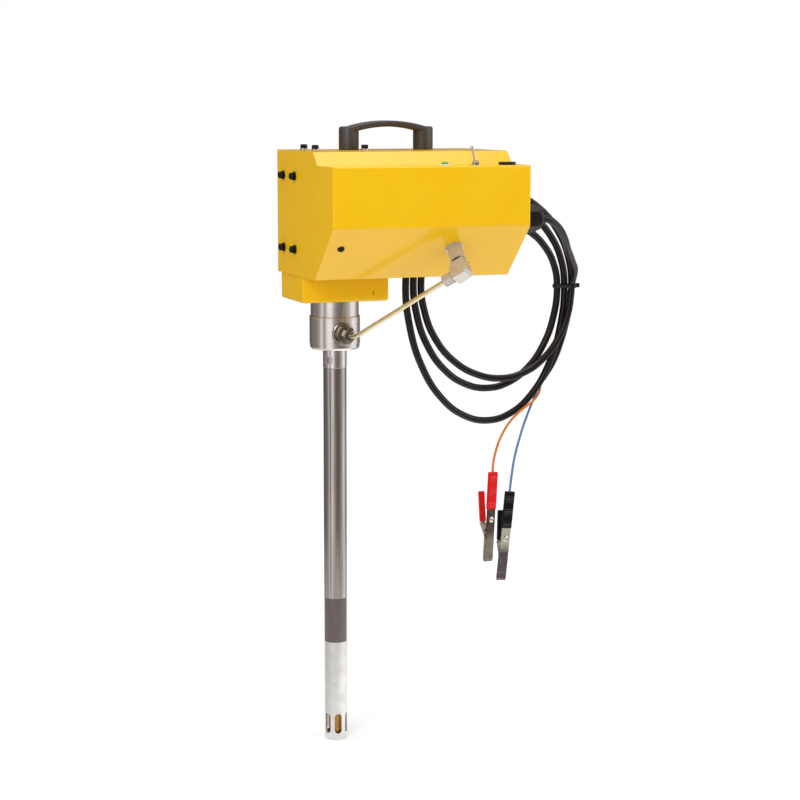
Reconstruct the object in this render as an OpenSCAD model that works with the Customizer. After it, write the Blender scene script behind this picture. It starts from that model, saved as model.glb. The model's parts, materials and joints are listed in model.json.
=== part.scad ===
// Electric grease pump that stands in a grease drum on its suction tube.
// Frame: +Z up and the front faces -Y. The origin lies on the suction tube's
// axis, where the plain tube comes out of the spanner collar.

/* [Suction tube] */
// Outer diameter of the suction tube
tube_d = 30; // [28:0.5:34]
// Bore of the suction tube and of the foot, in which the piston runs
tube_bore = 24; // [20:0.5:24]
// Length of the plain tube below the collar
tube_len = 303.5; // [200:1:500]
// Length of the black sleeve over the joint
sleeve_len = 59; // [40:1:90]
// Step from the tube down to the sleeve and the foot
sleeve_step = 0.3; // [0.2:0.05:0.5]
// Wall of the black sleeve
sleeve_wall = 0.85; // [0.5:0.05:1.1]
// Length of the foot tube
foot_len = 132; // [110:1:180]
// Thickness of the foot's closed end
foot_floor = 4; // [3:0.5:8]
// Rounding of the foot's tip
foot_round = 3; // [1:0.5:4]
// Number of suction slots round the foot
slot_count = 6; // [3:1:8]
// Length of a suction slot
slot_len = 26.5; // [14:0.5:30]
// Width of a suction slot
slot_w = 9.2; // [4:0.1:10]
// Height of the slots above the foot's tip
slot_up = 8.5; // [7:0.5:20]
// Turn of the first slot round the axis
slot_turn = 23.5; // [0:0.5:60]

/* [Foot valve and piston] */
// Diameter of the brass valve body behind the slots
valve_body_d = 19; // [16:0.5:19]
// Bore of the valve body
valve_bore = 10; // [6:0.5:11]
// Height of the valve body's flange
valve_flange_h = 12; // [8:1:16]
// Diameter of the valve plate
valve_plate_d = 17; // [14:0.5:18]
// Thickness of the valve plate
valve_plate_t = 2; // [1:0.5:3]
// Lift of the valve plate
valve_lift = 4; // [2:0.5:5]
// Length of the piston
piston_len = 25; // [15:1:30]
// Diameter of the pump rod
rod_d = 12; // [8:0.5:14]
// Stroke of the piston
stroke = 20; // [12:1:24]

/* [Pump head] */
// Length of the spanner collar
collar_len = 25; // [15:1:40]
// Outer diameter of the spanner collar
collar_d = 30.6; // [30.4:0.1:34]
// Distance between the collar's spanner flats
collar_flats = 27.4; // [27:0.1:30]
// Diameter of the head's lower body
head_low_d = 65; // [60:1:70]
// Height of the head's lower body
head_low_h = 42; // [38:1:55]
// Diameter of the head's upper body
head_up_d = 62; // [56:1:64]
// Height of the head's upper body
head_up_h = 20.4; // [16:0.1:30]
// Thickness of the gasket between the two bodies
gasket_t = 0.6; // [0.4:0.1:1]
// Width and depth of the turned groove near the head's lower edge
head_groove = 1.2; // [0.6:0.1:2]
// Chamfer of the head's lower edge
head_chamfer = 2.5; // [1:0.5:4]
// Bore of the pressure chamber in the head
chamber_d = 20; // [16:1:22]
// Height of the outlet ports above the head's lower face
port_up = 21.4; // [18:0.1:24]
// Radius of the threaded port at the back
port_r = 5.9; // [4:0.1:6.5]
// Depth of the threaded port at the back
port_len = 14; // [8:1:16]

/* [Tray] */
// Width of the tray under the housing
tray_w = 115; // [100:1:118]
// Depth of the tray under the housing
tray_d = 88; // [80:1:96]
// Height of the tray
tray_h = 34; // [28:1:60]
// Outer radius of the tray's folds
tray_round = 4; // [3:0.5:6]

/* [Housing] */
// Thickness of the folded sheet
sheet = 2; // [1.5:0.1:2.5]
// Distance from the tube's axis to the left end
house_left = 60; // [60:1:80]
// Length of the housing
house_len = 258; // [250:1:320]
// Distance from the tube's axis to the rear face
house_back = 52; // [50:1:60]
// Depth of the housing from rear to front
house_depth = 220; // [212:1:240]
// Height of the housing
house_h = 156; // [150:1:180]
// Depth of the top panel, from the rear face to its fold
top_depth = 146; // [136:1:148]
// Drop and run of the slope between the top and the shelf
slope = 16; // [10:1:20]
// Height of the upright front panel
front_h = 73; // [60:1:84]
// Depth of the bottom panel, from the rear face to its fold
bottom_depth = 151; // [140:1:158]
// Outer radius of the folds
fold_r = 3; // [2.5:0.5:4]
// Radius of the relief notches at the front folds
relief_r = 1.3; // [0.8:0.1:1.6]
// Width of the rim round the rear opening
rear_rim = 13; // [10:1:18]
// Thickness of the rear cover
cover_t = 1.5; // [1:0.1:2]
// Gap from the rear cover's edge to the housing's edge
cover_margin = 4; // [3:0.5:6]

/* [Handle] */
// Length of the handle over its legs
handle_len = 127; // [110:1:140]
// Diameter of a leg
handle_leg_d = 25.6; // [20:0.1:28]
// Height of the grip's top over the panel
handle_h = 37; // [34:0.5:50]
// Fall of the grip's top from the middle to the ends
handle_arch = 7.4; // [4:0.1:8]
// Thickness of the grip in the middle
handle_grip_t = 7.8; // [6:0.1:10]
// Distance from the housing's left end to the handle's middle
handle_at = 130.4; // [110:0.1:150]

/* [Fasteners] */
// Thread diameter of the black socket screws
screw_d = 5; // [4:0.5:6]
// Head diameter of the socket screws
screw_head_d = 8.5; // [8:0.1:10]
// Head height of the socket screws
screw_head_h = 5; // [4:0.1:6]
// Diameter of the washers under the socket screws
washer_d = 9.6; // [9:0.1:12]
// Thickness of the washers
washer_t = 2; // [1:0.1:2.5]
// Thread diameter of the screws that hold the handle
handle_screw_d = 5; // [4:0.5:6]
// Length of the handle's screws under their heads
handle_screw_len = 16; // [12:1:20]
// Head diameter of the handle's screws
handle_head_d = 9.5; // [8:0.5:12]
// Head height of the handle's screws
handle_head_h = 4.5; // [3:0.5:5]
// Spacing of the top screws along the housing
top_pitch_x = 66; // [60:1:76]
// Spacing of the screws from front to back, on the top and on the left end
bracket_pitch_y = 45; // [40:1:50]
// Spacing of the screws on the left end, upwards
end_pitch_z = 91.5; // [80:0.5:96]
// Height of the lower end screws above the housing's bottom
end_screw_up = 33; // [28:0.5:36]
// Distance of the screw in the slanted face from the left end
slant_screw_at = 19; // [14:1:30]

/* [Controls] */
// Distance from the right end to the lamp
lamp_at = 103; // [95:1:108]
// Diameter of the lamp's lens
lamp_d = 9; // [8:0.5:12]
// Distance from the right end to the toggle switch
toggle_at = 62.4; // [58:0.1:68]
// Length of the toggle lever from its pivot to its tip
lever_len = 23; // [18:0.5:28]
// Lean of the toggle lever at rest
lever_lean = 14; // [8:1:15]
// Distance from the right end to the fuse holder
fuse_at = 20; // [18:1:30]
// Diameter of the fuse holder's cap
fuse_cap_d = 21.7; // [16:0.1:24]
// Thickness of the fuse holder's cap
fuse_cap_t = 2.4; // [2:0.1:5]

/* [Pressure line] */
// Outer diameter of the pressure pipe
pipe_d = 6; // [5:0.5:6]
// Bore of the pressure pipe
pipe_bore = 4; // [2:0.5:4]
// Straight run of the pipe between the outlet nut and the bend
pipe_run_out = 2.3; // [1:0.1:6]
// Diameter of the outlet adapter's round collar
boss_d = 29; // [26:0.5:32]
// Spanner size of the outlet adapter
adapter_af = 22; // [19:1:24]
// Length of the outlet adapter's hexagon
adapter_len = 10; // [8:0.5:11]
// Spanner size of the pipe nuts
nut_af = 14; // [13:0.5:15]
// Length of a pipe nut
nut_len = 13; // [10:0.5:13]
// Distance from the right end to the fitting in the slanted face
fitting_at = 90.4; // [83:0.1:98]
// Distance down the slanted face to the fitting
fitting_down = 40; // [36:0.5:44]
// Distance from the slanted face to the elbow's centre
elbow_out = 37; // [34:0.5:42]
// Side of the elbow's square body
elbow_w = 18; // [16:0.5:20]
// Spanner size of the bulkhead adapter
bulkhead_af = 19; // [17:1:22]
// Diameter of the pressure switch behind the slanted face
switch_d = 30; // [26:1:34]
// Length of the pressure switch's can
switch_len = 34; // [25:1:40]

/* [Cable gland] */
// Height of the gland above the housing's bottom
gland_up = 73; // [70:0.5:80]
// Distance of the gland behind the front panel
gland_back = 29; // [26:0.5:34]
// Spanner size of the gland
gland_af = 31; // [27:0.5:31]
// Length of the gland's fixed hexagon
gland_hex_len = 7; // [5:0.5:9]
// Length of the gland's dome nut
gland_nut_len = 22; // [18:0.5:24]
// Diameter of the cable
cable_d = 10; // [9.6:0.1:10]

/* [Battery clips] */
// Width of a clip's front channel
clip_w = 12.3; // [11:0.1:16]
// Depth of a clip's closed jaws
clip_depth = 8.5; // [8:0.1:12]
// Thickness of a clip's sheet
clip_t = 1; // [0.8:0.1:1.2]
// Length of a jaw below the pivot
jaw_len = 41; // [35:1:65]
// Depth of the channel in the front handle
channel_depth = 3.4; // [3:0.1:3.6]
// Height of the rivet above the pivot
rivet_up = 18; // [14:1:22]
// Height of the front sleeve's lower end above the pivot
grip_low = 33; // [28:1:40]
// Height of the front sleeve's upper end above the pivot
grip_high = 84; // [70:1:90]
// Number of ridges across the front sleeve
grip_ridges = 3; // [2:1:6]
// Width of the rear handle
lever_w = 6.6; // [5:0.2:8]
// Height of the rear handle's upper end above the pivot
lever_high = 52; // [45:1:60]
// Distance of the rear handle's upper end behind the pivot
lever_out = 23; // [21:0.5:26]
// Diameter of the clip's pivot pin
clip_pin_d = 3; // [2.5:0.5:4]
// Wall of the plastic sleeves
grip_wall = 0.85; // [0.6:0.05:1.2]

/* [Drive] */
// Thickness of the support frame's plate
frame_t = 3; // [2.5:0.5:4]
// Width of the support frame from front to back
frame_w = 62; // [58:1:66]
// Diameter of the motor
motor_d = 60; // [50:1:66]
// Room between the motor and the outside of the right end
motor_room = 23; // [15:1:50]
// Length and width of the gearbox
gearbox_w = 42; // [36:1:44]
// Height of the gearbox
gearbox_h = 64; // [60:1:70]
// Diameter of the gearbox's output shaft
shaft_d = 12; // [10:1:14]
// Height of the drive's axis above the housing's bottom
drive_up = 88; // [84:1:92]
// Diameter of the crank disc
crank_d = 40; // [36:1:44]
// Diameter of the crank pin
crank_pin_d = 10; // [8:1:12]
// Thickness of the yoke on the pump rod
yoke_t = 8; // [6:1:10]

/* [Fit] */
// Clearance between fixed pieces that fit into one another
fit = 0.05; // [0.03:0.01:0.1]
// Gap between pieces that move apart
gap = 0.3; // [0.25:0.05:0.5]

/* [Hidden] */
$fn = 64;

// Heights of the tube, the sleeve and the foot
tube_r = tube_d / 2;
bore_r = tube_bore / 2;
sleeve_top = -tube_len;
foot_top = sleeve_top - sleeve_len;
foot_end = foot_top - foot_len;
sleeve_r = tube_r - sleeve_step;
neck_r = sleeve_r - sleeve_wall;
spigot_len = 18;
spigot_r = (neck_r + bore_r) / 2;

// Foot valve and piston
valve_low = foot_end + foot_floor;
valve_seat = foot_end + slot_up + slot_len + 8 + valve_flange_h;
plate_low = valve_seat + gap;
piston_low = plate_low + valve_plate_t + valve_lift + 5;
rod_r = rod_d / 2;

// Heights of the head, the tray and the housing
head_z = collar_len;
gasket_z = head_z + head_low_h;
head_up_z = gasket_z + gasket_t;
tray_z = head_up_z + head_up_h;
house_z = tray_z + tray_h;
house_top = house_z + house_h;
port_z = head_z + port_up;
spot_y = head_low_d / 2 - 2;
chamber_r = chamber_d / 2;

// Housing profile in Y and Z, from the lower rear corner, anticlockwise
house_x = -house_left;
right_x = house_x + house_len;
front_y = house_back - house_depth;
top_y = house_back - top_depth;
shelf_z = house_top - slope;
front_z = shelf_z - front_h;
bottom_y = house_back - bottom_depth;
house_pts = [[house_back, house_z], [house_back, house_top], [top_y, house_top],
    [top_y - slope, shelf_z], [front_y, shelf_z], [front_y, front_z], [bottom_y, house_z]];
shelf_y = (top_y - slope + front_y) / 2;

// Slanted face: its direction down the face and its outward normal
slant_run = bottom_y - front_y;
slant_drop = front_z - house_z;
slant_len = norm([slant_run, slant_drop]);
slant_tilt = 90 + atan2(slant_run, slant_drop);
slant_dir = [0, slant_run / slant_len, -slant_drop / slant_len];
slant_out = [0, -slant_drop / slant_len, -slant_run / slant_len];
function on_slant(x, down, out = 0) =
    [x, front_y, front_z] + down * slant_dir + out * slant_out;

// Pressure line: the bend's corner lies in the plane of the elbow
fitting_x = right_x - fitting_at;
elbow_at = on_slant(fitting_x, fitting_down, elbow_out);
corner_y = elbow_at.y - (port_z - elbow_at.z) * slant_out.z / slant_out.y;
pipe_corner = [0, corner_y, port_z];
pipe_run = pipe_corner - elbow_at;
elbow_turn = 180 + atan2(pipe_run * slant_dir, -pipe_run.x);
pipe_roll = atan2(-pipe_run.z, -pipe_run.x);
pipe_turn = acos(pipe_run.y / norm(pipe_run));
adapter_out = spot_y + 5.5 + adapter_len;
nut_out = adapter_out + nut_len;
bend_cut = -corner_y - nut_out - pipe_run_out;
pipe_bend = bend_cut / tan(pipe_turn / 2);
elbow_half = elbow_w / 2;
nut_from_elbow = elbow_half + 5;
straight_len = norm(pipe_run) - bend_cut - nut_from_elbow;
seal_out = elbow_out - elbow_half - 4;
bend_steps = 10;
function bend_point(t) = [pipe_bend * (1 - cos(t)), corner_y + bend_cut - pipe_bend * sin(t), 0];
function pipe_line(over) = concat([[0, 5 - adapter_out + over, 0]],
    [for (i = [0:bend_steps]) bend_point(pipe_turn * i / bend_steps)],
    [bend_point(pipe_turn) + (straight_len + over) * [sin(pipe_turn), -cos(pipe_turn), 0]]);

// Gland
gland_y = front_y + gland_back;
gland_z = house_z + gland_up;
gland_x = right_x;
gland_r = gland_af / 2 / cos(30);
gland_tip = gland_x + gland_hex_len + gland_nut_len;
cable_r = cable_d / 2;

// Drive
drive_z = house_z + drive_up;
crank_r = stroke / 2;
yoke_z = drive_z - crank_r;
pin_x = max(yoke_t, rod_r + 2) + 0.4;
crank_x = pin_x + 10;
frame_x = top_pitch_x / 2 + 12;
frame_top = house_top - sheet;
frame_low = house_z + sheet;
gearbox_x = frame_x;
motor_x = gearbox_x + gearbox_w;
motor_len = right_x - motor_room - motor_x;
slot_half = crank_r + crank_pin_d / 2 + 1;

// Screws
top_spots = [for (x = [-1, 1], y = [-1, 1]) [x * top_pitch_x / 2, y * bracket_pitch_y / 2]];
end_z = house_z + end_screw_up;
end_spots = [for (y = [-1, 1], k = [0, 1]) [y * bracket_pitch_y / 2, end_z + k * end_pitch_z]];
handle_x = house_x + handle_at;
leg_pitch = handle_len - handle_leg_d;
head_bolt_circle = 48;

// Clips: the place of each pivot, its lean and its turn
red_pivot = [246, 62, -249];
black_pivot = [269, 64, -278];
red_lean = 2.8;
black_lean = 5.7;
red_turn = 14;
black_turn = -1;

// Cable route: the lead's points, the coil's turns and the tail's points
coil_y = 70;
tie_z = 88;
lead_pts = [[gland_tip, gland_y, gland_z], [236, -138, 193], [247, -133, 187.5], [259, -124, 179],
    [271, -110, 169], [284, -90, 159.5], [297, -67, 151.5], [311, -43, 143.5], [326, -19, 134], [340, 4,
        125],
    [352, 23, 117], [360, 39, 109], [364.5, 51, 101], [366, 57.5, 94]];
coil_right = [366, 349, 360, 371];
coil_low = [[262, -35], [246, -49], [247, -94]];
coil_left = [147, 136, 125];
coil_top = [[250, 180], [247, 205], [247, 221]];
left_z = 100;
lead_front = -11;
tail_pts = [[371, 75, 62], [368, 80, 35], [361, 82, 8], [349, 82, -20], [334, 82, -42]];
turn_steps = 20;

// A quarter of an ellipse from one point to the next: the start runs upright
// where steep is true, and level where it isn't
function quarter(a, b, t, steep) = steep
    ? [b[0] + (a[0] - b[0]) * cos(t), a[1] + (b[1] - a[1]) * sin(t)]
    : [a[0] + (b[0] - a[0]) * sin(t), b[1] + (a[1] - b[1]) * cos(t)];
function turn_keys(k) = [[coil_right[k], tie_z], coil_low[k], [coil_left[k], left_z],
    coil_top[k], [coil_right[k + 1], tie_z]];
function turn_offset(k, s) = k > 0 ? 0 : s < 1 ? lead_front : s < 1.5 ? lead_front * (1.5 - s) * 2 : 0;
function turn_point(k, s) =
    let (q = floor(s), keys = turn_keys(k),
        p = quarter(keys[q], keys[q + 1], 90 * (s - q), q % 2 == 0))
    [p[0], coil_y + turn_offset(k, s), p[1]];
coil_pts = [for (k = [0:2], i = [0:turn_steps - 1]) turn_point(k, 4 * i / turn_steps)];
cable_pts = concat(lead_pts, coil_pts, [[coil_right[3], coil_y, tie_z]], tail_pts);
cable_end = tail_pts[len(tail_pts) - 1];
cable_way = (cable_end - tail_pts[len(tail_pts) - 2]) / norm(cable_end - tail_pts[len(tail_pts) - 2]);
wire_r = 1.7;
// A point in a clip's own frame, seen in the shared frame
function clip_point(pivot, lean, turn, p) =
    let (x = p.x * cos(turn) - p.y * sin(turn), y = p.x * sin(turn) + p.y * cos(turn))
    pivot + [x * cos(lean) + p.z * sin(lean), y, p.z * cos(lean) - x * sin(lean)];
function wire_start(side) = [cable_end + [0, side, 0], cable_end + [0, side, 0] + 5 * cable_way];
wire_y = clip_t + wire_r + fit - clip_depth / 2;
function wire_stop(pivot, lean, turn) =
    [for (z = [grip_high + 12, grip_high - 3, rivet_up + 6]) clip_point(pivot, lean, turn, [0, wire_y, z])];
orange_pts = concat(wire_start(-2.2), [[327, 75, -57], [319, 67, -64], [308, 61, -71], [296, 59, -78],
    [284, 59, -87], [274, 59, -97], [265, 59, -110], [258.5, 59, -123], [254, 60, -138]],
    wire_stop(red_pivot, red_lean, red_turn));
blue_pts = concat(wire_start(2.2), [[328, 84, -56], [322, 82, -68], [315, 79, -80], [308, 76, -93],
    [301, 73, -107], [295, 70, -121], [289, 67, -136], [284, 64.5, -152], [280.5, 62.5, -168]],
    wire_stop(black_pivot, black_lean, black_turn));

// Points of an outline whose corners are rounded by the radii
function corner_arc(a, b, c, r, n = 6) =
    let (u = (a - b) / norm(a - b), v = (c - b) / norm(c - b),
        half = acos(max(-1, min(1, u * v))) / 2, m = (u + v) / norm(u + v),
        o = b + m * r / sin(half), p = b + u * r / tan(half), q = b + v * r / tan(half),
        s = atan2(p[1] - o[1], p[0] - o[0]), e = atan2(q[1] - o[1], q[0] - o[0]),
        d = e - s > 180 ? e - s - 360 : e - s < -180 ? e - s + 360 : e - s)
    [for (i = [0:n]) o + r * [cos(s + d * i / n), sin(s + d * i / n)]];
function rounded(pts, r) =
    let (n = len(pts))
    [for (i = [0:n - 1]) each corner_arc(pts[(i + n - 1) % n], pts[i], pts[(i + 1) % n], r)];
function left_of(a, b) = [a[1] - b[1], b[0] - a[0]] / norm(b - a);
function shifted_corner(a, b, c, t) =
    let (m = left_of(a, b), n = left_of(b, c))
    b + t * (m + n) / (1 + m * n);
function inset(pts, t) =
    let (n = len(pts))
    [for (i = [0:n - 1]) shifted_corner(pts[(i + n - 1) % n], pts[i], pts[(i + 1) % n], t)];

// Sweep of a round cord along points, with flat ends
function unit(v) = v / norm(v);
function along(pts, i) = unit(pts[min(i + 1, len(pts) - 1)] - pts[max(i - 1, 0)]);
function carried(v, t) = unit(v - (v * t) * t);
function side_list(pts, i = 1, list = [[0, 1, 0]]) =
    i >= len(pts) ? list : side_list(pts, i + 1, concat(list, [carried(list[i - 1], along(pts, i))]));

module sweep_cord(pts, r, sides = 8) {
    n = len(pts);
    start = carried([0, 1, 0.2], along(pts, 0));
    sides_at = side_list(pts, 1, [start]);
    rings = [for (i = [0:n - 1], j = [0:sides - 1])
        let (t = along(pts, i), a = sides_at[i], b = cross(t, a), w = 360 * j / sides)
        pts[i] + r * (cos(w) * a + sin(w) * b)];
    walls = [for (i = [0:n - 2], j = [0:sides - 1])
        [i * sides + j, i * sides + (j + 1) % sides, (i + 1) * sides + (j + 1) % sides,
            (i + 1) * sides + j]];
    low_end = [[for (j = [sides - 1:-1:0]) j]];
    high_end = [[for (j = [0:sides - 1]) (n - 1) * sides + j]];
    polyhedron(points = rings, faces = [for (f = concat(walls, low_end, high_end))
        [for (k = [len(f) - 1:-1:0]) f[k]]]);
}

// Small shapes that repeat
module along_x(x, length) {
    translate([x, 0, 0]) rotate([90, 0, 90]) linear_extrude(length) children();
}
module along_y(y, length) {
    translate([0, y + length, 0]) rotate([90, 0, 0]) linear_extrude(length) children();
}
module box(low, high) {
    translate(low) cube(high - low);
}
module ring(r_out, r_in, h) {
    difference() {
        cylinder(r = r_out, h = h);
        translate([0, 0, -1]) cylinder(r = r_in, h = h + 2);
    }
}
module hexagon(af, h) {
    cylinder(r = af / 2 / cos(30), h = h, $fn = 6);
}
module round_hex(af, h, cut = 1) {
    intersection() {
        hexagon(af, h);
        cone_ends(af / 2 / cos(30), h, cut);
    }
}
module cone_ends(r, h, cut) {
    rotate_extrude() polygon([
        [0, 0], [r - cut * 1.7, 0], [r, cut], [r, h - cut], [r - cut * 1.7, h], [0, h]
    ]);
}
module round_plate(w, d, r, h) {
    linear_extrude(h) round_rect(w, d, r);
}
module round_rect(w, d, r) {
    union() {
        square([w - 2 * r, d], center = true);
        square([w, d - 2 * r], center = true);
        for (x = [-1, 1], y = [-1, 1]) translate([x * (w / 2 - r), y * (d / 2 - r)]) circle(r = r);
    }
}
module socket_screw(length) {
    difference() {
        union() {
            rotate_extrude() polygon([[0, 0], [screw_head_d / 2, 0], [screw_head_d / 2, screw_head_h - 0.5],
                [screw_head_d / 2 - 0.5, screw_head_h], [0, screw_head_h]]);
            translate([0, 0, -length]) cylinder(d = screw_d - 2 * fit, h = length + 0.01);
        }
        translate([0, 0, screw_head_h / 2]) hexagon(4, screw_head_h);
    }
}
module button_screw(d, length) {
    difference() {
        union() {
            rotate_extrude() polygon([
                [0, 0], [d * 0.9, 0], [d * 0.85, d * 0.25], [d * 0.6, d * 0.5], [0, d * 0.55]
            ]);
            translate([0, 0, -length]) cylinder(d = d - 2 * fit, h = length + 0.01);
        }
        translate([0, 0, d * 0.25]) hexagon(d * 0.6, d);
    }
}
// Places its children with +Z along the slanted face's outward normal
module at_slant(x, down, out = 0) {
    translate(on_slant(x, down, out)) rotate([slant_tilt, 0, 0]) children();
}

// Housing
module housing_shell() {
    color("gold") difference() {
        intersection() {
            along_x(house_x, house_len) polygon(rounded(house_pts, fold_r));
            translate([house_x + house_len / 2, house_back - house_depth / 2, house_z - 1])
                round_plate(house_len, house_depth, fold_r, house_h + 2);
        }
        along_x(house_x + sheet, house_len - 2 * sheet) polygon(rounded(inset(house_pts, sheet), 1));
        box([house_x + rear_rim, house_back - sheet - 1, house_z + rear_rim],
            [house_x + house_len - rear_rim, house_back + 1, house_top - rear_rim]);
        for (s = rear_spots) translate([s[0], house_back + 1, s[1]]) rotate([90, 0, 0])
            cylinder(d = 4, h = sheet + 2);
        for (s = top_spots) translate([s[0], s[1], house_top - sheet - 1])
            cylinder(d = screw_d + 0.4, h = sheet + 2);
        for (s = end_spots) translate([house_x - 1, s[0], s[1]]) rotate([0, 90, 0])
            cylinder(d = screw_d + 0.4, h = sheet + 2);
        for (x = [-1, 1]) translate([handle_x + x * leg_pitch / 2, 0, house_top - sheet - 1])
            cylinder(d = handle_screw_d + 1.4, h = sheet + 2);
        panel_hole(lamp_at, lamp_d - 1.4);
        panel_hole(toggle_at, 7.4);
        panel_hole(fuse_at, fuse_body_d + 2 * fit);
        at_slant(fitting_x, fitting_down, -sheet - 1) cylinder(d = shank_d + 0.4, h = sheet + 2);
        at_slant(house_x + slant_screw_at, fitting_down - 3, -sheet - 1)
            cylinder(d = screw_d + 0.4, h = sheet + 2);
        translate([gland_x - sheet - 1, gland_y, gland_z]) rotate([0, 90, 0])
            cylinder(d = gland_thread_d + 2 * fit, h = sheet + 2);
        for (x = [house_x, house_x + house_len]) translate([x - sheet - 1, front_y, front_z])
            rotate([0, 90, 0])
            cylinder(r = relief_r, h = 2 * sheet + 2, $fn = 24);
        translate([0, 0, house_z - 1])
            round_plate(tray_w - 30, tray_d - 24, 6, sheet + 2);
    }
}
fuse_body_d = fuse_cap_d * 0.72;
shank_d = bulkhead_af - 4;
gland_thread_d = gland_af - 9;
rear_cols = 3;
rear_span_x = house_len - rear_rim;
rear_span_z = house_h - rear_rim;
rear_spots = [for (i = [0:rear_cols - 1], k = [-1, 1])
    [house_x + house_len / 2 + (i - (rear_cols - 1) / 2) * rear_span_x / (rear_cols - 1),
        house_z + house_h / 2 + k * rear_span_z / 2]];
module panel_hole(at, d) {
    translate([right_x - at, shelf_y, shelf_z - sheet - 1]) cylinder(d = d, h = sheet + 2);
}
module rear_cover() {
    color("gold") difference() {
        translate([house_x + house_len / 2, house_back + cover_t, house_z + house_h / 2]) rotate([90, 0, 0])
            round_plate(house_len - 2 * cover_margin, house_h - 2 * cover_margin, 5, cover_t);
        for (s = rear_spots) translate([s[0], house_back + cover_t + 1, s[1]]) rotate([90, 0, 0])
            cylinder(d = 4, h = cover_t + 2);
    }
}
module rear_screws() {
    color("dimgray") for (s = rear_spots) translate([s[0], house_back + cover_t, s[1]]) rotate([-90, 0, 0])
        button_screw(4, cover_t + sheet + 3);
}

// Tray between the housing and the pump head
module tray_prism(w, d, z0, z1, r) {
    intersection() {
        along_x(-w / 2, w) polygon(concat(corner_arc([d / 2, z1], [d / 2, z0], [-d / 2, z0], r),
            corner_arc([d / 2, z0], [-d / 2, z0], [-d / 2, z1], r), [[-d / 2, z1], [d / 2, z1]]));
        along_y(-d / 2, d) polygon(concat(corner_arc([w / 2, z1], [w / 2, z0], [-w / 2, z0], r),
            corner_arc([w / 2, z0], [-w / 2, z0], [-w / 2, z1], r), [[-w / 2, z1], [w / 2, z1]]));
        translate([0, 0, z0 - 1]) round_plate(w, d, r / 2, z1 - z0 + 2);
    }
}
module base_tray() {
    color("gold") difference() {
        tray_prism(tray_w, tray_d, tray_z, house_z, tray_round);
        tray_prism(tray_w - 2 * sheet, tray_d - 2 * sheet, tray_z + sheet, house_z + 1, tray_round - sheet);
        translate([0, 0, tray_z - 1]) cylinder(r = head_neck_r + fit, h = sheet + 2);
        for (a = [45:90:315]) rotate(a) translate([head_bolt_circle / 2, 0, tray_z - 1])
            cylinder(d = 6.4, h = sheet + 2);
        for (x = [-1, 1], y = [-1, 1]) translate([x * tray_w / 2, y * tray_d / 2, tray_z])
            sphere(r = tray_round - 1, $fn = 24);
        translate([tray_w / 2 - 21, -tray_d / 2 - 1, tray_z + 8]) cube([1.2, sheet + 2, 5]);
    }
}
head_neck_r = 17;

// Handle
module carry_handle() {
    low = handle_h - handle_arch;
    half = leg_pitch / 2;
    arch_r = (half * half + handle_arch * handle_arch) / (2 * handle_arch);
    turn = asin(half / arch_r);
    color([0.27, 0.24, 0.23]) translate([handle_x, 0, house_top]) difference() {
        union() {
            for (x = [-1, 1]) translate([x * half, 0, 0]) handle_leg(low);
            translate([0, 0, handle_h - arch_r]) rotate([90, 0, 0]) rotate(90 - turn)
                rotate_extrude(angle = 2 * turn, $fn = 180) translate([arch_r - handle_grip_t / 2, 0])
                    round_rect(handle_grip_t, handle_leg_d - 0.6, 3);
        }
        for (x = [-1, 1]) translate([x * half, 0, -1]) cylinder(d = handle_screw_d + 2 * fit,
            h = handle_screw_len + 2);
    }
}
module handle_leg(h) {
    r = handle_leg_d / 2;
    rotate_extrude() polygon([[0, 0], [r - 0.8, 0], [r, 0.8], [r, h - 3], [r - 0.9, h - 0.9], [r - 3, h],
        [0, h]]);
}
module handle_screws() {
    color("dimgray") for (x = [-1, 1]) translate([handle_x + x * leg_pitch / 2, 0, house_top - sheet])
        rotate([180, 0, 0]) {
            cylinder(d = handle_head_d, h = handle_head_h);
            translate([0, 0, -handle_screw_len]) cylinder(d = handle_screw_d, h = handle_screw_len + 0.01);
        }
}

// Screws of the top, the left end and the slanted face, and their washers
module panel_screws() {
    long = washer_t + sheet + frame_t + 3;
    color([0.1, 0.1, 0.1]) {
        for (s = top_spots) translate([s[0], s[1], house_top + washer_t]) socket_screw(long);
        for (s = end_spots) translate([house_x - washer_t, s[0], s[1]])
            rotate([0, -90, 0]) socket_screw(long);
        at_slant(house_x + slant_screw_at, fitting_down - 3) button_screw(screw_d, sheet + 8);
    }
}
module top_washers() {
    color("gainsboro") for (s = top_spots) translate([s[0], s[1], house_top])
        ring(washer_d / 2, screw_d / 2 + 0.2, washer_t);
}
module end_washers() {
    color([0.15, 0.15, 0.15]) for (s = end_spots) translate([house_x, s[0], s[1]]) rotate([0, -90, 0])
        ring(washer_d / 2 + 0.8, screw_d / 2 + 0.2, washer_t);
}

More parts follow.
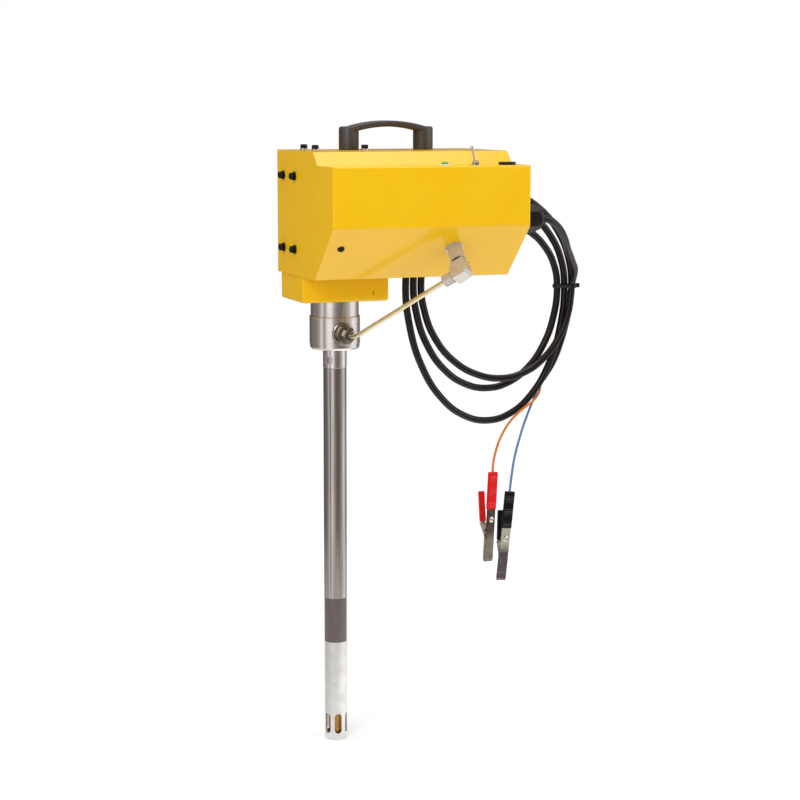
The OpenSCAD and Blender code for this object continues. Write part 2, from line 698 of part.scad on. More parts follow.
// Support frame that carries the gearbox and takes the bracket screws
module support_frame() {
    low_x = house_x + sheet;
    color("silver") difference() {
        union() {
            box([low_x, -frame_w / 2, frame_low], [low_x + frame_t, frame_w / 2, frame_top]);
            box([low_x, -frame_w / 2, frame_top - frame_t], [frame_x, frame_w / 2, frame_top]);
            box([low_x, -frame_w / 2, frame_low], [frame_x, frame_w / 2, frame_low + frame_t]);
            box([frame_x - frame_t, -frame_w / 2, frame_low], [frame_x, frame_w / 2, frame_top]);
        }
        for (s = top_spots) translate([s[0], s[1], frame_top - frame_t - 1])
            cylinder(d = screw_d, h = frame_t + 2);
        for (s = end_spots) translate([low_x - 1, s[0], s[1]]) rotate([0, 90, 0])
            cylinder(d = screw_d, h = frame_t + 2);
        for (x = [-1, 1]) translate([handle_x + x * leg_pitch / 2, 0, frame_top - frame_t - 1])
            cylinder(d = handle_head_d + 2.5, h = frame_t + 2);
        translate([0, 0, frame_low - 1]) cylinder(d = rod_d + 10, h = frame_t + 2);
        translate([frame_x - frame_t - 1, 0, drive_z]) rotate([0, 90, 0])
            cylinder(d = shaft_d + 6, h = frame_t + 2);
    }
}

// Pump head
module pump_head_upper() {
    color("silver") difference() {
        rotate_extrude() polygon([
            [chamber_r, head_up_z], [head_up_d / 2, head_up_z], [head_up_d / 2, tray_z - 0.8],
            [head_up_d / 2 - 0.8, tray_z], [head_neck_r, tray_z], [head_neck_r, tray_z + sheet + 2],
            [seal_r, tray_z + sheet + 2], [seal_r, tray_z - 8], [chamber_r, tray_z - 8]
        ]);
        for (a = [45:90:315]) rotate(a) translate([head_bolt_circle / 2, 0, tray_z - 14])
            cylinder(d = 6 + 2 * fit, h = 16);
    }
}
seal_r = chamber_r + 2;
module head_bolts() {
    color("dimgray") for (a = [45:90:315]) rotate(a) translate([head_bolt_circle / 2, 0, tray_z + sheet]) {
        translate([0, 0, -sheet - 12]) cylinder(d = 6, h = sheet + 12.01);
        hexagon(10, 4);
    }
}
module head_gasket() {
    color("goldenrod") translate([0, 0, gasket_z]) ring(head_low_d / 2 - 0.4, chamber_r, gasket_t);
}
module pump_head_lower() {
    r = head_low_d / 2;
    g = head_groove;
    color("silver") difference() {
        rotate_extrude() polygon([[chamber_r, head_z + 12], [collar_spigot_r + fit, head_z + 12],
            [collar_spigot_r + fit, head_z], [r - head_chamfer, head_z], [r - 0.6, head_z + head_chamfer],
            [r - 0.6, head_z + 5.4], [r - g, head_z + 5.4], [r - g, head_z + 5.4 + g], [r, head_z + 5.4 + g],
            [r, gasket_z - 0.5], [r - 0.5, gasket_z], [chamber_r, gasket_z]]);
        for (a = [0, 180]) rotate(a) translate([0, -spot_y, port_z]) rotate([90, 0, 0])
            cylinder(d = boss_d + 1, h = 10);
        translate([0, 0, port_z]) rotate([90, 0, 0]) cylinder(r = port_r, h = spot_y + 1);
        translate([0, spot_y + 1, port_z]) rotate([90, 0, 0]) cylinder(r = port_r, h = port_len + 1);
        translate([0, spot_y, port_z]) rotate([90, 0, 0]) cylinder(r = 3, h = spot_y);
    }
}
module rod_seal() {
    color([0.2, 0.2, 0.2]) translate([0, 0, tray_z - 8]) ring(seal_r - fit, rod_r + fit, 9);
}

// Collar and tube
collar_spigot_r = neck_r - 1.4;
module tube_collar() {
    color("silver") difference() {
        rotate_extrude() polygon([[neck_r + fit, 0], [collar_d / 2 - 0.5, 0], [collar_d / 2, 0.5],
            [collar_d / 2, head_z], [collar_spigot_r, head_z], [collar_spigot_r, head_z + 11.5],
            [chamber_r, head_z + 11.5], [chamber_r, head_z - 4], [neck_r + fit, head_z - 4]]);
        for (s = [-1, 1]) rotate(35) translate([s * (collar_flats / 2 + 5), 0, head_z * 0.42])
            cube([10, 40, head_z * 0.34], center = true);
    }
}
module suction_tube() {
    spigot_z = foot_top - spigot_len;
    color("lightgray") rotate_extrude() polygon([
        [bore_r, spigot_z], [spigot_r, spigot_z], [spigot_r, foot_top], [neck_r, foot_top],
        [neck_r, sleeve_top], [tube_r, sleeve_top], [tube_r, 0], [neck_r, 0], [neck_r, head_z - 5],
        [bore_r, head_z - 5]
    ]);
}
module tube_sleeve() {
    color([0.22, 0.2, 0.2]) translate([0, 0, foot_top]) ring(sleeve_r, neck_r, sleeve_len);
}

// Foot with its suction slots
module foot_tube() {
    r = sleeve_r;
    color("gainsboro") difference() {
        rotate_extrude() polygon(concat([[5, foot_end]],
            corner_arc([5, foot_end], [r, foot_end], [r, foot_top], foot_round),
            [[r, foot_top], [spigot_r + fit, foot_top], [spigot_r + fit, foot_top - spigot_len],
            [bore_r, foot_top - spigot_len], [bore_r, valve_low], [5, valve_low]]));
        for (k = [0:slot_count - 1]) rotate(slot_turn + k * 360 / slot_count) foot_slot();
    }
}
module foot_slot() {
    low = foot_end + slot_up + slot_w / 2;
    high = foot_end + slot_up + slot_len - slot_w / 2;
    translate([8, 0, 0]) rotate([0, 90, 0]) linear_extrude(10) union() {
        translate([-high, -slot_w / 2]) square([high - low, slot_w]);
        translate([-high, 0]) circle(d = slot_w);
        translate([-low, 0]) circle(d = slot_w);
    }
}
module foot_valve_body() {
    flange_low = valve_seat - valve_flange_h;
    color("darkgoldenrod") rotate_extrude() polygon([
        [valve_bore / 2, valve_low], [valve_body_d / 2, valve_low],
        [valve_body_d / 2, flange_low - 2], [bore_r - fit, flange_low], [bore_r - fit, valve_seat],
        [valve_bore / 2, valve_seat]
    ]);
}
module foot_valve_plate() {
    color("goldenrod") translate([0, 0, plate_low]) cylinder(d = valve_plate_d, h = valve_plate_t);
}
module piston() {
    r = bore_r - fit;
    color("dimgray") translate([0, 0, piston_low]) difference() {
        rotate_extrude() polygon([
            [0, 0], [r - 1, 0], [r, 1], [r, piston_len * 0.3], [r - 1.2, piston_len * 0.3],
            [r - 1.2, piston_len * 0.42], [r, piston_len * 0.42], [r, piston_len * 0.7],
            [r - 1.2, piston_len * 0.7], [r - 1.2, piston_len * 0.82], [r, piston_len * 0.82],
            [r, piston_len], [0, piston_len]
        ]);
        translate([0, 0, piston_len - 10]) cylinder(r = rod_r + fit, h = 11);
    }
}
module pump_rod() {
    color("silver") translate([0, 0, piston_low + piston_len - 10])
        cylinder(r = rod_r, h = yoke_z - 14 - (piston_low + piston_len - 10));
}
module yoke() {
    color("gray") difference() {
        union() {
            box([0, -slot_half - 5, yoke_z - 10], [yoke_t, slot_half + 5, yoke_z + 10]);
            translate([0, 0, yoke_z - 32]) cylinder(r = rod_r + 2, h = 18);
            box([0, -rod_r - 2, yoke_z - 15], [yoke_t, rod_r + 2, yoke_z - 9]);
        }
        translate([0, 0, yoke_z - 33]) cylinder(r = rod_r + fit, h = 19);
        box([-1, -slot_half, yoke_z - crank_pin_d / 2 - 0.4], [yoke_t + 1, slot_half,
            yoke_z + crank_pin_d / 2 + 0.4]);
    }
}

// Gearmotor and crank
module crank() {
    color("gray") translate([0, 0, drive_z]) rotate([0, 90, 0]) {
        translate([0, 0, crank_x]) cylinder(d = crank_d, h = 8);
        translate([crank_r, 0, pin_x]) cylinder(d = crank_pin_d, h = crank_x + 1 - pin_x);
        translate([0, 0, crank_x + 7]) cylinder(d = shaft_d - 2 * fit, h = gearbox_x + 15 - crank_x - 7);
    }
}
module gearbox() {
    color("silver") difference() {
        union() {
            translate([gearbox_x, 0, drive_z]) rotate([90, 0, 90])
                round_plate(frame_w - 4, gearbox_h, 8, gearbox_w);
            translate([gearbox_x - frame_t, 0, drive_z]) rotate([0, 90, 0])
                cylinder(d = shaft_d + 5.8, h = frame_t + 1);
        }
        translate([gearbox_x - frame_t - 1, 0, drive_z]) rotate([0, 90, 0])
            cylinder(d = shaft_d, h = frame_t + 17);
    }
}
module motor() {
    color("dimgray") translate([motor_x, 0, drive_z]) rotate([0, 90, 0]) rotate_extrude()
        polygon([[0, 0], [motor_d / 2, 0], [motor_d / 2, motor_len - 12], [motor_d / 2 - 2, motor_len - 10],
            [motor_d / 2 - 2, motor_len - 2], [motor_d / 2 - 4, motor_len], [0, motor_len]]);
}

// Pressure line
module outward(y) {
    translate([0, -y, port_z]) rotate([90, 0, 0]) children();
}
module outlet_adapter() {
    color("silver") difference() {
        union() {
            outward(spot_y) cone_ends(boss_d / 2, 5.5, 0.8);
            outward(spot_y + 5.4) round_hex(adapter_af, adapter_len + 0.1, 0.8);
            outward(spot_y - 13) cylinder(r = port_r - fit, h = 14);
        }
        outward(spot_y - 14) cylinder(d = 5, h = 40);
        outward(adapter_out - 6) cylinder(d = pipe_d + 2 * fit, h = 8);
    }
}
module nut_with_hole() {
    difference() {
        round_hex(nut_af, nut_len, 0.7);
        translate([0, 0, -1]) cylinder(d = pipe_d + 2 * fit, h = nut_len + 2);
    }
}
module outlet_nut() {
    color("silver") outward(adapter_out) nut_with_hole();
}
module pressure_pipe() {
    color([0.8, 0.72, 0.55]) translate([0, 0, port_z]) rotate([0, -pipe_roll, 0]) difference() {
        sweep_cord(pipe_line(0), pipe_d / 2, 24);
        sweep_cord(pipe_line(1), pipe_bore / 2, 16);
    }
}
// Places its children with +Z from the elbow's centre towards the pipe
module from_elbow(d) {
    at_slant(fitting_x, fitting_down, elbow_out) rotate([0, 0, elbow_turn]) rotate([0, 90, 0])
        translate([0, 0, d])
        children();
}
module pipe_nut() {
    color("silver") from_elbow(nut_from_elbow) nut_with_hole();
}
module elbow() {
    h = elbow_half;
    color("silver") difference() {
        at_slant(fitting_x, fitting_down, elbow_out) rotate([0, 0, elbow_turn]) intersection() {
            union() {
                box([-h, -h, -h - 4], [h, h, h]);
                box([-h, -h, -h], [h + 3, h, h]);
                rotate([0, 90, 0]) cylinder(d = nut_af - 1, h = nut_from_elbow);
            }
            rotate([90, 0, 0]) translate([0, 0, -h - 1]) linear_extrude(2 * h + 2)
                polygon([
                    [-h - 1, h - 5], [-h + 5, h + 1], [h + 20, h + 1], [h + 20, -h - 5], [-h - 1, -h - 5]
                ]);
        }
        from_elbow(nut_from_elbow - 8) cylinder(d = pipe_d + 2 * fit, h = 20);
        from_elbow(0) cylinder(d = 4, h = 20);
    }
}
module elbow_seal() {
    color([0.12, 0.12, 0.12]) at_slant(fitting_x, fitting_down, seal_out - 3) ring(elbow_half - 1.2, 5, 3);
}
module bulkhead_adapter() {
    color("silver") difference() {
        union() {
            at_slant(fitting_x, fitting_down, 2) round_hex(bulkhead_af, seal_out - 5, 0.8);
            at_slant(fitting_x, fitting_down, -sheet - 12) cylinder(d = shank_d, h = sheet + 14.1);
            at_slant(fitting_x, fitting_down, seal_out - 3.1) cylinder(r = 5 - fit, h = 3.1);
        }
        at_slant(fitting_x, fitting_down, -sheet - 13) cylinder(d = 5, h = seal_out + 14 + sheet);
    }
}
module bulkhead_washer() {
    color("silver") at_slant(fitting_x, fitting_down) ring(bulkhead_af / 2 + 2, shank_d / 2 + fit, 2);
}
module pressure_switch() {
    color("dimgray") at_slant(fitting_x, fitting_down, -sheet - 10 - switch_len) difference() {
        union() {
            cylinder(d = switch_d, h = switch_len);
            translate([0, 0, switch_len - 1]) hexagon(switch_d * 0.8, 11);
        }
        translate([0, 0, switch_len - 2.1]) cylinder(d = shank_d + 2 * fit, h = 14);
    }
}

// Controls on the shelf
module on_shelf(at, up = 0) {
    translate([right_x - at, shelf_y, shelf_z + up]) children();
}
module lamp_bezel() {
    color("white") on_shelf(lamp_at) difference() {
        union() {
            rotate_extrude() polygon([[0, 0], [lamp_d / 2 + 1.6, 0], [lamp_d / 2 + 1.6, 0.8],
                [lamp_d / 2 + 0.8, 1.4], [0, 1.4]]);
            translate([0, 0, -18]) cylinder(d = lamp_d - 1.6, h = 18.1);
        }
        translate([0, 0, 0.5]) cylinder(r = lamp_d / 2 + 0.1, h = 3);
    }
}
module lamp_lens() {
    r = lamp_d / 2;
    color("limegreen") on_shelf(lamp_at, 0.5) intersection() {
        cylinder(r = r, h = 5);
        translate([0, 0, 4.2 - r * 1.25]) sphere(r = r * 1.25);
    }
}
pivot_up = 1.5;
lever_pin_r = 1;
module toggle_body() {
    color("lightgray") on_shelf(toggle_at) difference() {
        union() {
            translate([0, 0, -9]) cylinder(d = 7, h = 15);
            translate([-6.5, -8, -24]) cube([13, 16, 22 - sheet]);
        }
        translate([0, 0, pivot_up - 3.2]) cylinder(r1 = 2.2, r2 = 3.1, h = 8);
        translate([0, -4, pivot_up]) rotate([-90, 0, 0]) cylinder(r = lever_pin_r + fit, h = 8, $fn = 32);
    }
}
module toggle_nut() {
    color("lightgray") on_shelf(toggle_at) difference() {
        union() {
            ring(7.2, 3.6, 0.8);
            translate([0, 0, 0.8]) round_hex(9, 2.4, 0.4);
        }
        translate([0, 0, -1]) cylinder(d = 7 + 2 * fit, h = 8);
    }
}
module toggle_lever() {
    color("lightgray") on_shelf(toggle_at, pivot_up) rotate([0, -lever_lean, 0]) {
        sphere(r = 1.7, $fn = 32);
        translate([0, -3.2, 0]) rotate([-90, 0, 0]) cylinder(r = lever_pin_r, h = 6.4, $fn = 32);
        rotate_extrude() polygon([[0, 0], [1.2, 0], [1.4, 5], [2.1, lever_len - 5], [2.1, lever_len - 1.7],
            [1.6, lever_len - 0.6], [0.9, lever_len - 0.1], [0, lever_len]]);
    }
}
module fuse_holder() {
    color([0.12, 0.12, 0.12]) on_shelf(fuse_at) difference() {
        union() {
            cylinder(d = fuse_cap_d - 1, h = 0.8);
            translate([0, 0, -30]) cylinder(d = fuse_body_d, h = 30.1);
        }
        translate([0, 0, -20]) cylinder(d = fuse_body_d - 4, h = 22);
    }
}
module fuse_cap() {
    r = fuse_cap_d / 2;
    color([0.1, 0.1, 0.1]) on_shelf(fuse_at, 0.8 + gap) difference() {
        union() {
            rotate_extrude() polygon([
                [0, 0], [r, 0], [r, fuse_cap_t - 0.6], [r - 0.6, fuse_cap_t], [0, fuse_cap_t]
            ]);
            translate([0, 0, -14]) cylinder(d = fuse_body_d - 4 - 2 * gap, h = 14.1);
        }
        translate([-r * 0.7, -0.7, fuse_cap_t - 0.9]) cube([r * 1.4, 1.4, 2]);
        for (a = [0:20:340]) rotate(a) translate([r + 0.5, 0, -1])
            cylinder(d = 1.8, h = fuse_cap_t + 2, $fn = 16);
    }
}

// Cable gland in the right end
module at_gland(x) {
    translate([gland_x + x, gland_y, gland_z]) rotate([0, 90, 0]) children();
}
module gland_body() {
    color([0.13, 0.13, 0.13]) difference() {
        union() {
            at_gland(0) round_hex(gland_af, gland_hex_len, 0.8);
            at_gland(-sheet - 9) cylinder(d = gland_thread_d, h = sheet + 9.1);
            at_gland(gland_hex_len - 0.1) cylinder(d = gland_af - 7, h = gland_nut_len * 0.5);
        }
        at_gland(-sheet - 10) cylinder(d = cable_d + 3, h = 60);
    }
}
module gland_nut() {
    r = gland_r;
    n = gland_nut_len;
    color([0.11, 0.11, 0.11]) at_gland(gland_hex_len) difference() {
        intersection() {
            union() {
                hexagon(gland_af, n * 0.55);
                cylinder(r = gland_af / 2 - 0.6, h = n);
            }
            rotate_extrude() polygon([[0, 0], [r - 1, 0], [r, 0.8], [r, n * 0.42], [r * 0.94, n * 0.55],
                [r * 0.76, n * 0.78], [r * 0.5, n * 0.95], [r * 0.45, n], [0, n]]);
        }
        translate([0, 0, -1]) cylinder(d = gland_af - 7 + 2 * fit, h = n * 0.5 + 1.2);
        cylinder(r = cable_r + fit, h = n + 1);
    }
}
module gland_locknut() {
    color([0.13, 0.13, 0.13]) at_gland(-sheet - 5) difference() {
        hexagon(gland_af, 5);
        translate([0, 0, -1]) cylinder(d = gland_thread_d + 2 * fit, h = 7);
    }
}

// Cable, its tie and its two wires
module power_cable() {
    color([0.18, 0.17, 0.17]) sweep_cord(concat([[gland_tip - 8, gland_y, gland_z]], cable_pts),
        cable_r - 0.2);
}
module tie_outline(grow) {
    hull() for (p = [[coil_right[0], coil_y + lead_front], [coil_right[1], coil_y], [coil_right[2], coil_y],
        [coil_right[3], coil_y]]) translate(p) circle(r = cable_r + grow, $fn = 24);
}
module cable_tie() {
    color([0.1, 0.1, 0.1]) translate([0, 0, tie_z - 2.3]) union() {
        linear_extrude(4.6) difference() {
            tie_outline(1.4);
            tie_outline(0.2);
        }
        translate([coil_right[3] + cable_r + 1, coil_y - 3, -0.5]) cube([5, 6, 5.6]);
    }
}
module wire_orange() {
    color("darkorange") sweep_cord(orange_pts, wire_r);
}
module wire_blue() {
    color([0.35, 0.5, 0.72]) sweep_cord(blue_pts, wire_r);
}

// Battery clips, drawn round a pivot along X with the front channel towards -Y
clip_half = clip_w / 2;
inner_half = clip_half - clip_t - gap;
lever_half = lever_w / 2;
jaw_y = clip_depth / 2;
knee = [jaw_y + 11.75, 10];
lever_top = [lever_out, lever_high];
lever_run = norm(lever_top - knee);
lever_lie = atan2(lever_out - knee[0], lever_high - knee[1]);
lip = 2;
module at_clip(pivot, lean, turn) {
    translate(pivot) rotate([0, lean, 0]) rotate([0, 0, turn]) children();
}
module at_red() {
    at_clip(red_pivot, red_lean, red_turn) children();
}
module at_black() {
    at_clip(black_pivot, black_lean, black_turn) children();
}
module side_plates(half, outline) {
    for (x = [-half, half - clip_t]) along_x(x, clip_t) polygon(outline);
}
module pin_hole(d) {
    translate([-clip_w, 0, 0]) rotate([0, 90, 0]) cylinder(d = d + 2 * fit, h = 2 * clip_w);
}
// Outline of a jaw's plate, from its upper end down to the lip and back up
function jaw_plate(top, t) = [
    [jaw_y, top], [jaw_y, -jaw_len + 3], [jaw_y - lip, -jaw_len], [gap / 2, -jaw_len],
    [gap / 2, -jaw_len + t], [jaw_y - lip - 0.4, -jaw_len + t], [jaw_y - t, -jaw_len + 3.4],
    [jaw_y - t, top]
];
module jaw_fixed() {
    top = grip_high - 4;
    flange_y = channel_depth - jaw_y;
    difference() {
        union() {
            along_x(-clip_half, clip_w) polygon([for (p = jaw_plate(top, clip_t)) [-p[0], p[1]]]);
            side_plates(clip_half, [
                [0.3 - jaw_y, top], [0.3 - jaw_y, -jaw_len + 3], [-gap / 2, -jaw_len + 0.4],
                [-gap / 2, -10], [2.4, -5], [3, 0], [2.4, 3], [flange_y, 8], [flange_y, top]
            ]);
        }
        pin_hole(clip_pin_d);
        translate([0, 1 - jaw_y - clip_t, rivet_up]) rotate([90, 0, 0])
            cylinder(r = rivet_r + fit, h = 3, center = true);
    }
}
rivet_r = 2;
module jaw_moving() {
    t = clip_t;
    difference() {
        union() {
            along_x(-inner_half, 2 * inner_half)
                polygon(concat(jaw_plate(0.4 - 6, t), [[knee[0] - t, knee[1] + 0.8], knee]));
            along_x(-lever_half, lever_w) polygon([
                [knee[0] - t, knee[1] - 0.4], knee - [0.4, 0.4], knee, lever_top, lever_top - [t, 0]
            ]);
            side_plates(inner_half, [
                [jaw_y - 0.3, -6], knee - [0.3, 0.1], knee - [4, 0], [3, 4.5], [-1, 3], [-2, 1],
                [-2, -2.5], [gap / 2, -8], [gap / 2, -jaw_len + 0.4], [jaw_y - 0.3, -jaw_len + 3]
            ]);
            side_plates(lever_half, [
                knee - [0.4, 0.4], lever_top - [0.3, 0], lever_top - [3, 0], knee - [3, 0.4]
            ]);
        }
        pin_hole(clip_pin_d);
    }
}
// Plastic sleeve with ridges across its front, over the upper half of the front channel
module grip_fixed() {
    h = clip_half + grip_wall;
    front = -jaw_y - grip_wall;
    back = channel_depth - jaw_y + 2.2;
    ridge = 0.7;
    pitch = (grip_high - grip_low - 15) / (grip_ridges - 1);
    bumps = [for (i = [0:grip_ridges - 1]) let (z = grip_low + 7 + i * pitch)
        each [[front, z - 2], [front - ridge, z - 0.8], [front - ridge, z + 0.8], [front, z + 2]]];
    difference() {
        intersection() {
            along_x(-h, 2 * h) polygon(concat(
                [[back, grip_high], [back, grip_low], [front, grip_low]],
                bumps,
                [[front, grip_high - 1], [front + 1, grip_high]]
            ));
            translate([0, (front - ridge + back) / 2, grip_low - 1])
                round_plate(2 * h, back - front + ridge, 2.2, grip_high - grip_low + 2);
        }
        box([-clip_half - fit, -jaw_y - fit, grip_low - 2], [clip_half + fit, back - grip_wall,
            grip_high - 4 + fit]);
        translate([0, wire_y, grip_high - 5]) cylinder(r = wire_r + fit, h = 10);
    }
}
// Narrow tapered sleeve over the rear handle, open at its lower end
module grip_moving() {
    low = 2;
    high = lever_run + 1.2;
    a = lever_half + grip_wall;
    b = a + 0.7;
    depth = 3 + 2 * grip_wall;
    translate([0, knee[0], knee[1]]) rotate([-lever_lie, 0, 0]) difference() {
        intersection() {
            along_y(grip_wall - depth - 1, depth + 2) polygon([
                [-a, low], [a, low], [b, high - 2], [b - 1.5, high], [1.5 - b, high], [-b, high - 2]
            ]);
            translate([0, grip_wall - depth / 2, 0]) round_plate(2 * b, depth, 1.8, high + 1);
        }
        box([-lever_half - fit, grip_wall - depth + grip_wall, 0], [lever_half + fit, fit, lever_run + fit]);
    }
}
// Pivot pin with its heads, the spring round it and the round rivet on the front channel
module clip_pins() {
    rotate([0, 90, 0]) {
        translate([0, 0, -clip_half - 1]) cylinder(d = clip_pin_d, h = clip_w + 2);
        for (z = [-clip_half - 1, clip_half + 0.1]) translate([0, 0, z])
            cylinder(d = clip_pin_d + 1.8, h = 0.9);
        for (i = [-2:2]) translate([0, 0, i * 1.4]) rotate_extrude() translate([clip_pin_d / 2 + 0.9, 0])
            circle(r = 0.6, $fn = 16);
    }
    translate([0, -jaw_y, rivet_up]) rotate([90, 0, 0]) rotate_extrude() polygon([
        [1.2, -clip_t - 0.8], [rivet_r, -clip_t - 0.8], [rivet_r, 0], [4.2, 0], [4, 0.6],
        [2.6, 1.1], [1.2, 0.7]
    ]);
}
module red_jaw_fixed() {
    color("darkgray") at_red() jaw_fixed();
}
module red_jaw_moving() {
    color("darkgray") at_red() jaw_moving();
}
module red_grip() {
    color("red") at_red() grip_fixed();
}
module red_lever_grip() {
    color("red") at_red() grip_moving();
}
module red_pins() {
    color("lightgray") at_red() clip_pins();
}
module black_jaw_fixed() {
    color("darkgray") at_black() jaw_fixed();
}
module black_jaw_moving() {
    color("darkgray") at_black() jaw_moving();
}
module black_grip() {
    color([0.1, 0.1, 0.1]) at_black() grip_fixed();
}
module black_lever_grip() {
    color([0.1, 0.1, 0.1]) at_black() grip_moving();
}
module black_pins() {
    color("lightgray") at_black() clip_pins();
}

housing_shell();
rear_cover();
rear_screws();
base_tray();
carry_handle();
handle_screws();
panel_screws();
top_washers();
end_washers();
support_frame();
pump_head_upper();
head_bolts();
head_gasket();
pump_head_lower();
rod_seal();
tube_collar();
suction_tube();
tube_sleeve();
foot_tube();
foot_valve_body();
foot_valve_plate();
pump_rod();
piston();
yoke();
crank();
gearbox();
motor();
outlet_adapter();
outlet_nut();
pressure_pipe();
pipe_nut();
elbow();
elbow_seal();
bulkhead_adapter();
bulkhead_washer();
pressure_switch();
toggle_body();
toggle_nut();
toggle_lever();
lamp_bezel();
lamp_lens();
fuse_holder();
fuse_cap();
gland_body();
gland_nut();
gland_locknut();
power_cable();
cable_tie();
wire_orange();
wire_blue();
red_jaw_fixed();
red_jaw_moving();
red_grip();
red_lever_grip();
red_pins();
black_jaw_fixed();
black_jaw_moving();
black_grip();
black_lever_grip();
black_pins();
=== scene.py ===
# %% [markdown]
# # An electric grease pump
# The pump stands in a drum of grease on a long suction tube. A motor in the yellow sheet
# housing works a piston at the tube's foot, and a thin pressure pipe runs from the round
# pump head to a switch in the housing. Power comes from a battery, through a coiled cable
# with two clips. The solids are already made, so this script gives them their finishes and
# adds what solids leave out. It starts by loading them as a fixed frame.

# %% Load the frame
import json
import math

import bmesh
import bpy
from mathutils import Matrix, Vector

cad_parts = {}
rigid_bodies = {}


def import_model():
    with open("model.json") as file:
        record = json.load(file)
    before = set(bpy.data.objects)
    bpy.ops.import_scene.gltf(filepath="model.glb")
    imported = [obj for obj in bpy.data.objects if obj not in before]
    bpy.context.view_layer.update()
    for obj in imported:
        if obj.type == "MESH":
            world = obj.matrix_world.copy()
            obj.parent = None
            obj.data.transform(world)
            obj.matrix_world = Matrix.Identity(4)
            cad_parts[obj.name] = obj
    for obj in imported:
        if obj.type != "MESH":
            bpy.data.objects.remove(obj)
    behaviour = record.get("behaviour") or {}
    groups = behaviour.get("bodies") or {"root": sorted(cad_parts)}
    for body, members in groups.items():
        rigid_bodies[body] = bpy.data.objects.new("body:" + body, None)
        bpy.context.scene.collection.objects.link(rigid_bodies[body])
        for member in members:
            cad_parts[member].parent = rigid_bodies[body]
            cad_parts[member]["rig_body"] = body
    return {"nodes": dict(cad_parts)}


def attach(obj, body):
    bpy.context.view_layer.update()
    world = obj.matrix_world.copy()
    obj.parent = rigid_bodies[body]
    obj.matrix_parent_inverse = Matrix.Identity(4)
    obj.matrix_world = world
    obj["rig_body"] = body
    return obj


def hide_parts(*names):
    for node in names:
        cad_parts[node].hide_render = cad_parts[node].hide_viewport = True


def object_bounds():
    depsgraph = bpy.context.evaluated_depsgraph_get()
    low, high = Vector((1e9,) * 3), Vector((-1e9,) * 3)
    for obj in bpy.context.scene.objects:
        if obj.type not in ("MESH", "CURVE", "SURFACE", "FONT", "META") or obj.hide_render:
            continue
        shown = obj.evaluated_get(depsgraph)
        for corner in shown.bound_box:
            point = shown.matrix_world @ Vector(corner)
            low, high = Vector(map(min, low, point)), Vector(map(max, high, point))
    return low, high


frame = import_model()
cad_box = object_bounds()
MM = 0.001
print("CAD box in mm:", [[round(c / MM, 1) for c in corner] for corner in cad_box])

# %% [markdown]
# ## Camera
# The picture was taken from the front left, a little above the housing's middle, with a
# long lens. A camera is easiest to place by its direction: an azimuth round the object, an
# elevation and a small roll give its three axes, and a measured point gives its place.

# %% Camera
AZIMUTH, ELEVATION, ROLL = math.radians(-21.101), math.radians(8.596), math.radians(0.105)
CAMERA_AT = Vector((-0.8314, -2.3882, 0.3393))
LENS, SENSOR_WIDTH, SIGHT_END = 88.94, 36, 50

right = Vector((math.cos(AZIMUTH), math.sin(AZIMUTH), 0))
back = Vector((
    math.sin(AZIMUTH) * math.cos(ELEVATION),
    -math.cos(AZIMUTH) * math.cos(ELEVATION),
    math.sin(ELEVATION),
))
up = back.cross(right)
rolled_right = right * math.cos(ROLL) + up * math.sin(ROLL)
rolled_up = back.cross(rolled_right)
camera = bpy.data.objects.new("camera", bpy.data.cameras.new("camera"))
camera.data.lens = LENS
camera.data.sensor_width = SENSOR_WIDTH
camera.data.clip_end = SIGHT_END
axes = Matrix((rolled_right, rolled_up, back)).transposed()
camera.matrix_world = Matrix.Translation(CAMERA_AT) @ axes.to_4x4()
bpy.context.scene.collection.objects.link(camera)
bpy.context.scene.camera = camera
print("camera distance in m:", round(CAMERA_AT.length, 3))

# %% [markdown]
# ## Cords
# The power cable leaves the gland, comes round to the back and is wound into three loops
# that one tie holds. Its length is that of its route: a lead of 0.45 m, three turns that
# nest in one another and a tail, 2.7 m in all. A curve with a round bevel is the natural
# way to draw a cord, because its own line can be measured. The points are those of the
# solids, in millimetres.

# %% Places of the cable
CABLE_D = 9.6
GLAND_TIP = Vector((227, -139, 195))
LEAD = [
    tuple(GLAND_TIP), (236, -138, 193), (247, -133, 187.5), (259, -124, 179), (271, -110, 169),
    (284, -90, 159.5), (297, -67, 151.5), (311, -43, 143.5), (326, -19, 134), (340, 4, 125),
    (352, 23, 117), (360, 39, 109), (364.5, 51, 101), (366, 57.5, 94)]
TAIL = [(371, 75, 62), (368, 80, 35), (361, 82, 8), (349, 82, -20), (334, 82, -42)]
COIL_Y, TIE_Z, LEFT_Z = 70, 88, 100
COIL_RIGHT = (366, 349, 360, 371)
COIL_LOW = ((262, -35), (246, -49), (247, -94))
COIL_LEFT = (147, 136, 125)
COIL_TOP = ((250, 180), (247, 205), (247, 221))

# %% [markdown]
# Each turn of the coil is four quarters of ellipses, so it passes smoothly through its
# rightmost, lowest, leftmost and highest points. The first turn starts in front of the
# others, where the lead comes in, and falls back into their plane after one quarter.

# %% Route of the cable
TURNS, STEPS = 3, 20
FRONT_SHIFT, FRONT_UNTIL, FRONT_FADE = -11, 1.5, 0.5


def quarter(a, b, t, steep):
    """A point on a quarter of an ellipse from a to b, upright or level at its start."""
    c, s = math.cos(t), math.sin(t)
    if steep:
        return b[0] + (a[0] - b[0]) * c, a[1] + (b[1] - a[1]) * s
    return a[0] + (b[0] - a[0]) * s, b[1] + (a[1] - b[1]) * c


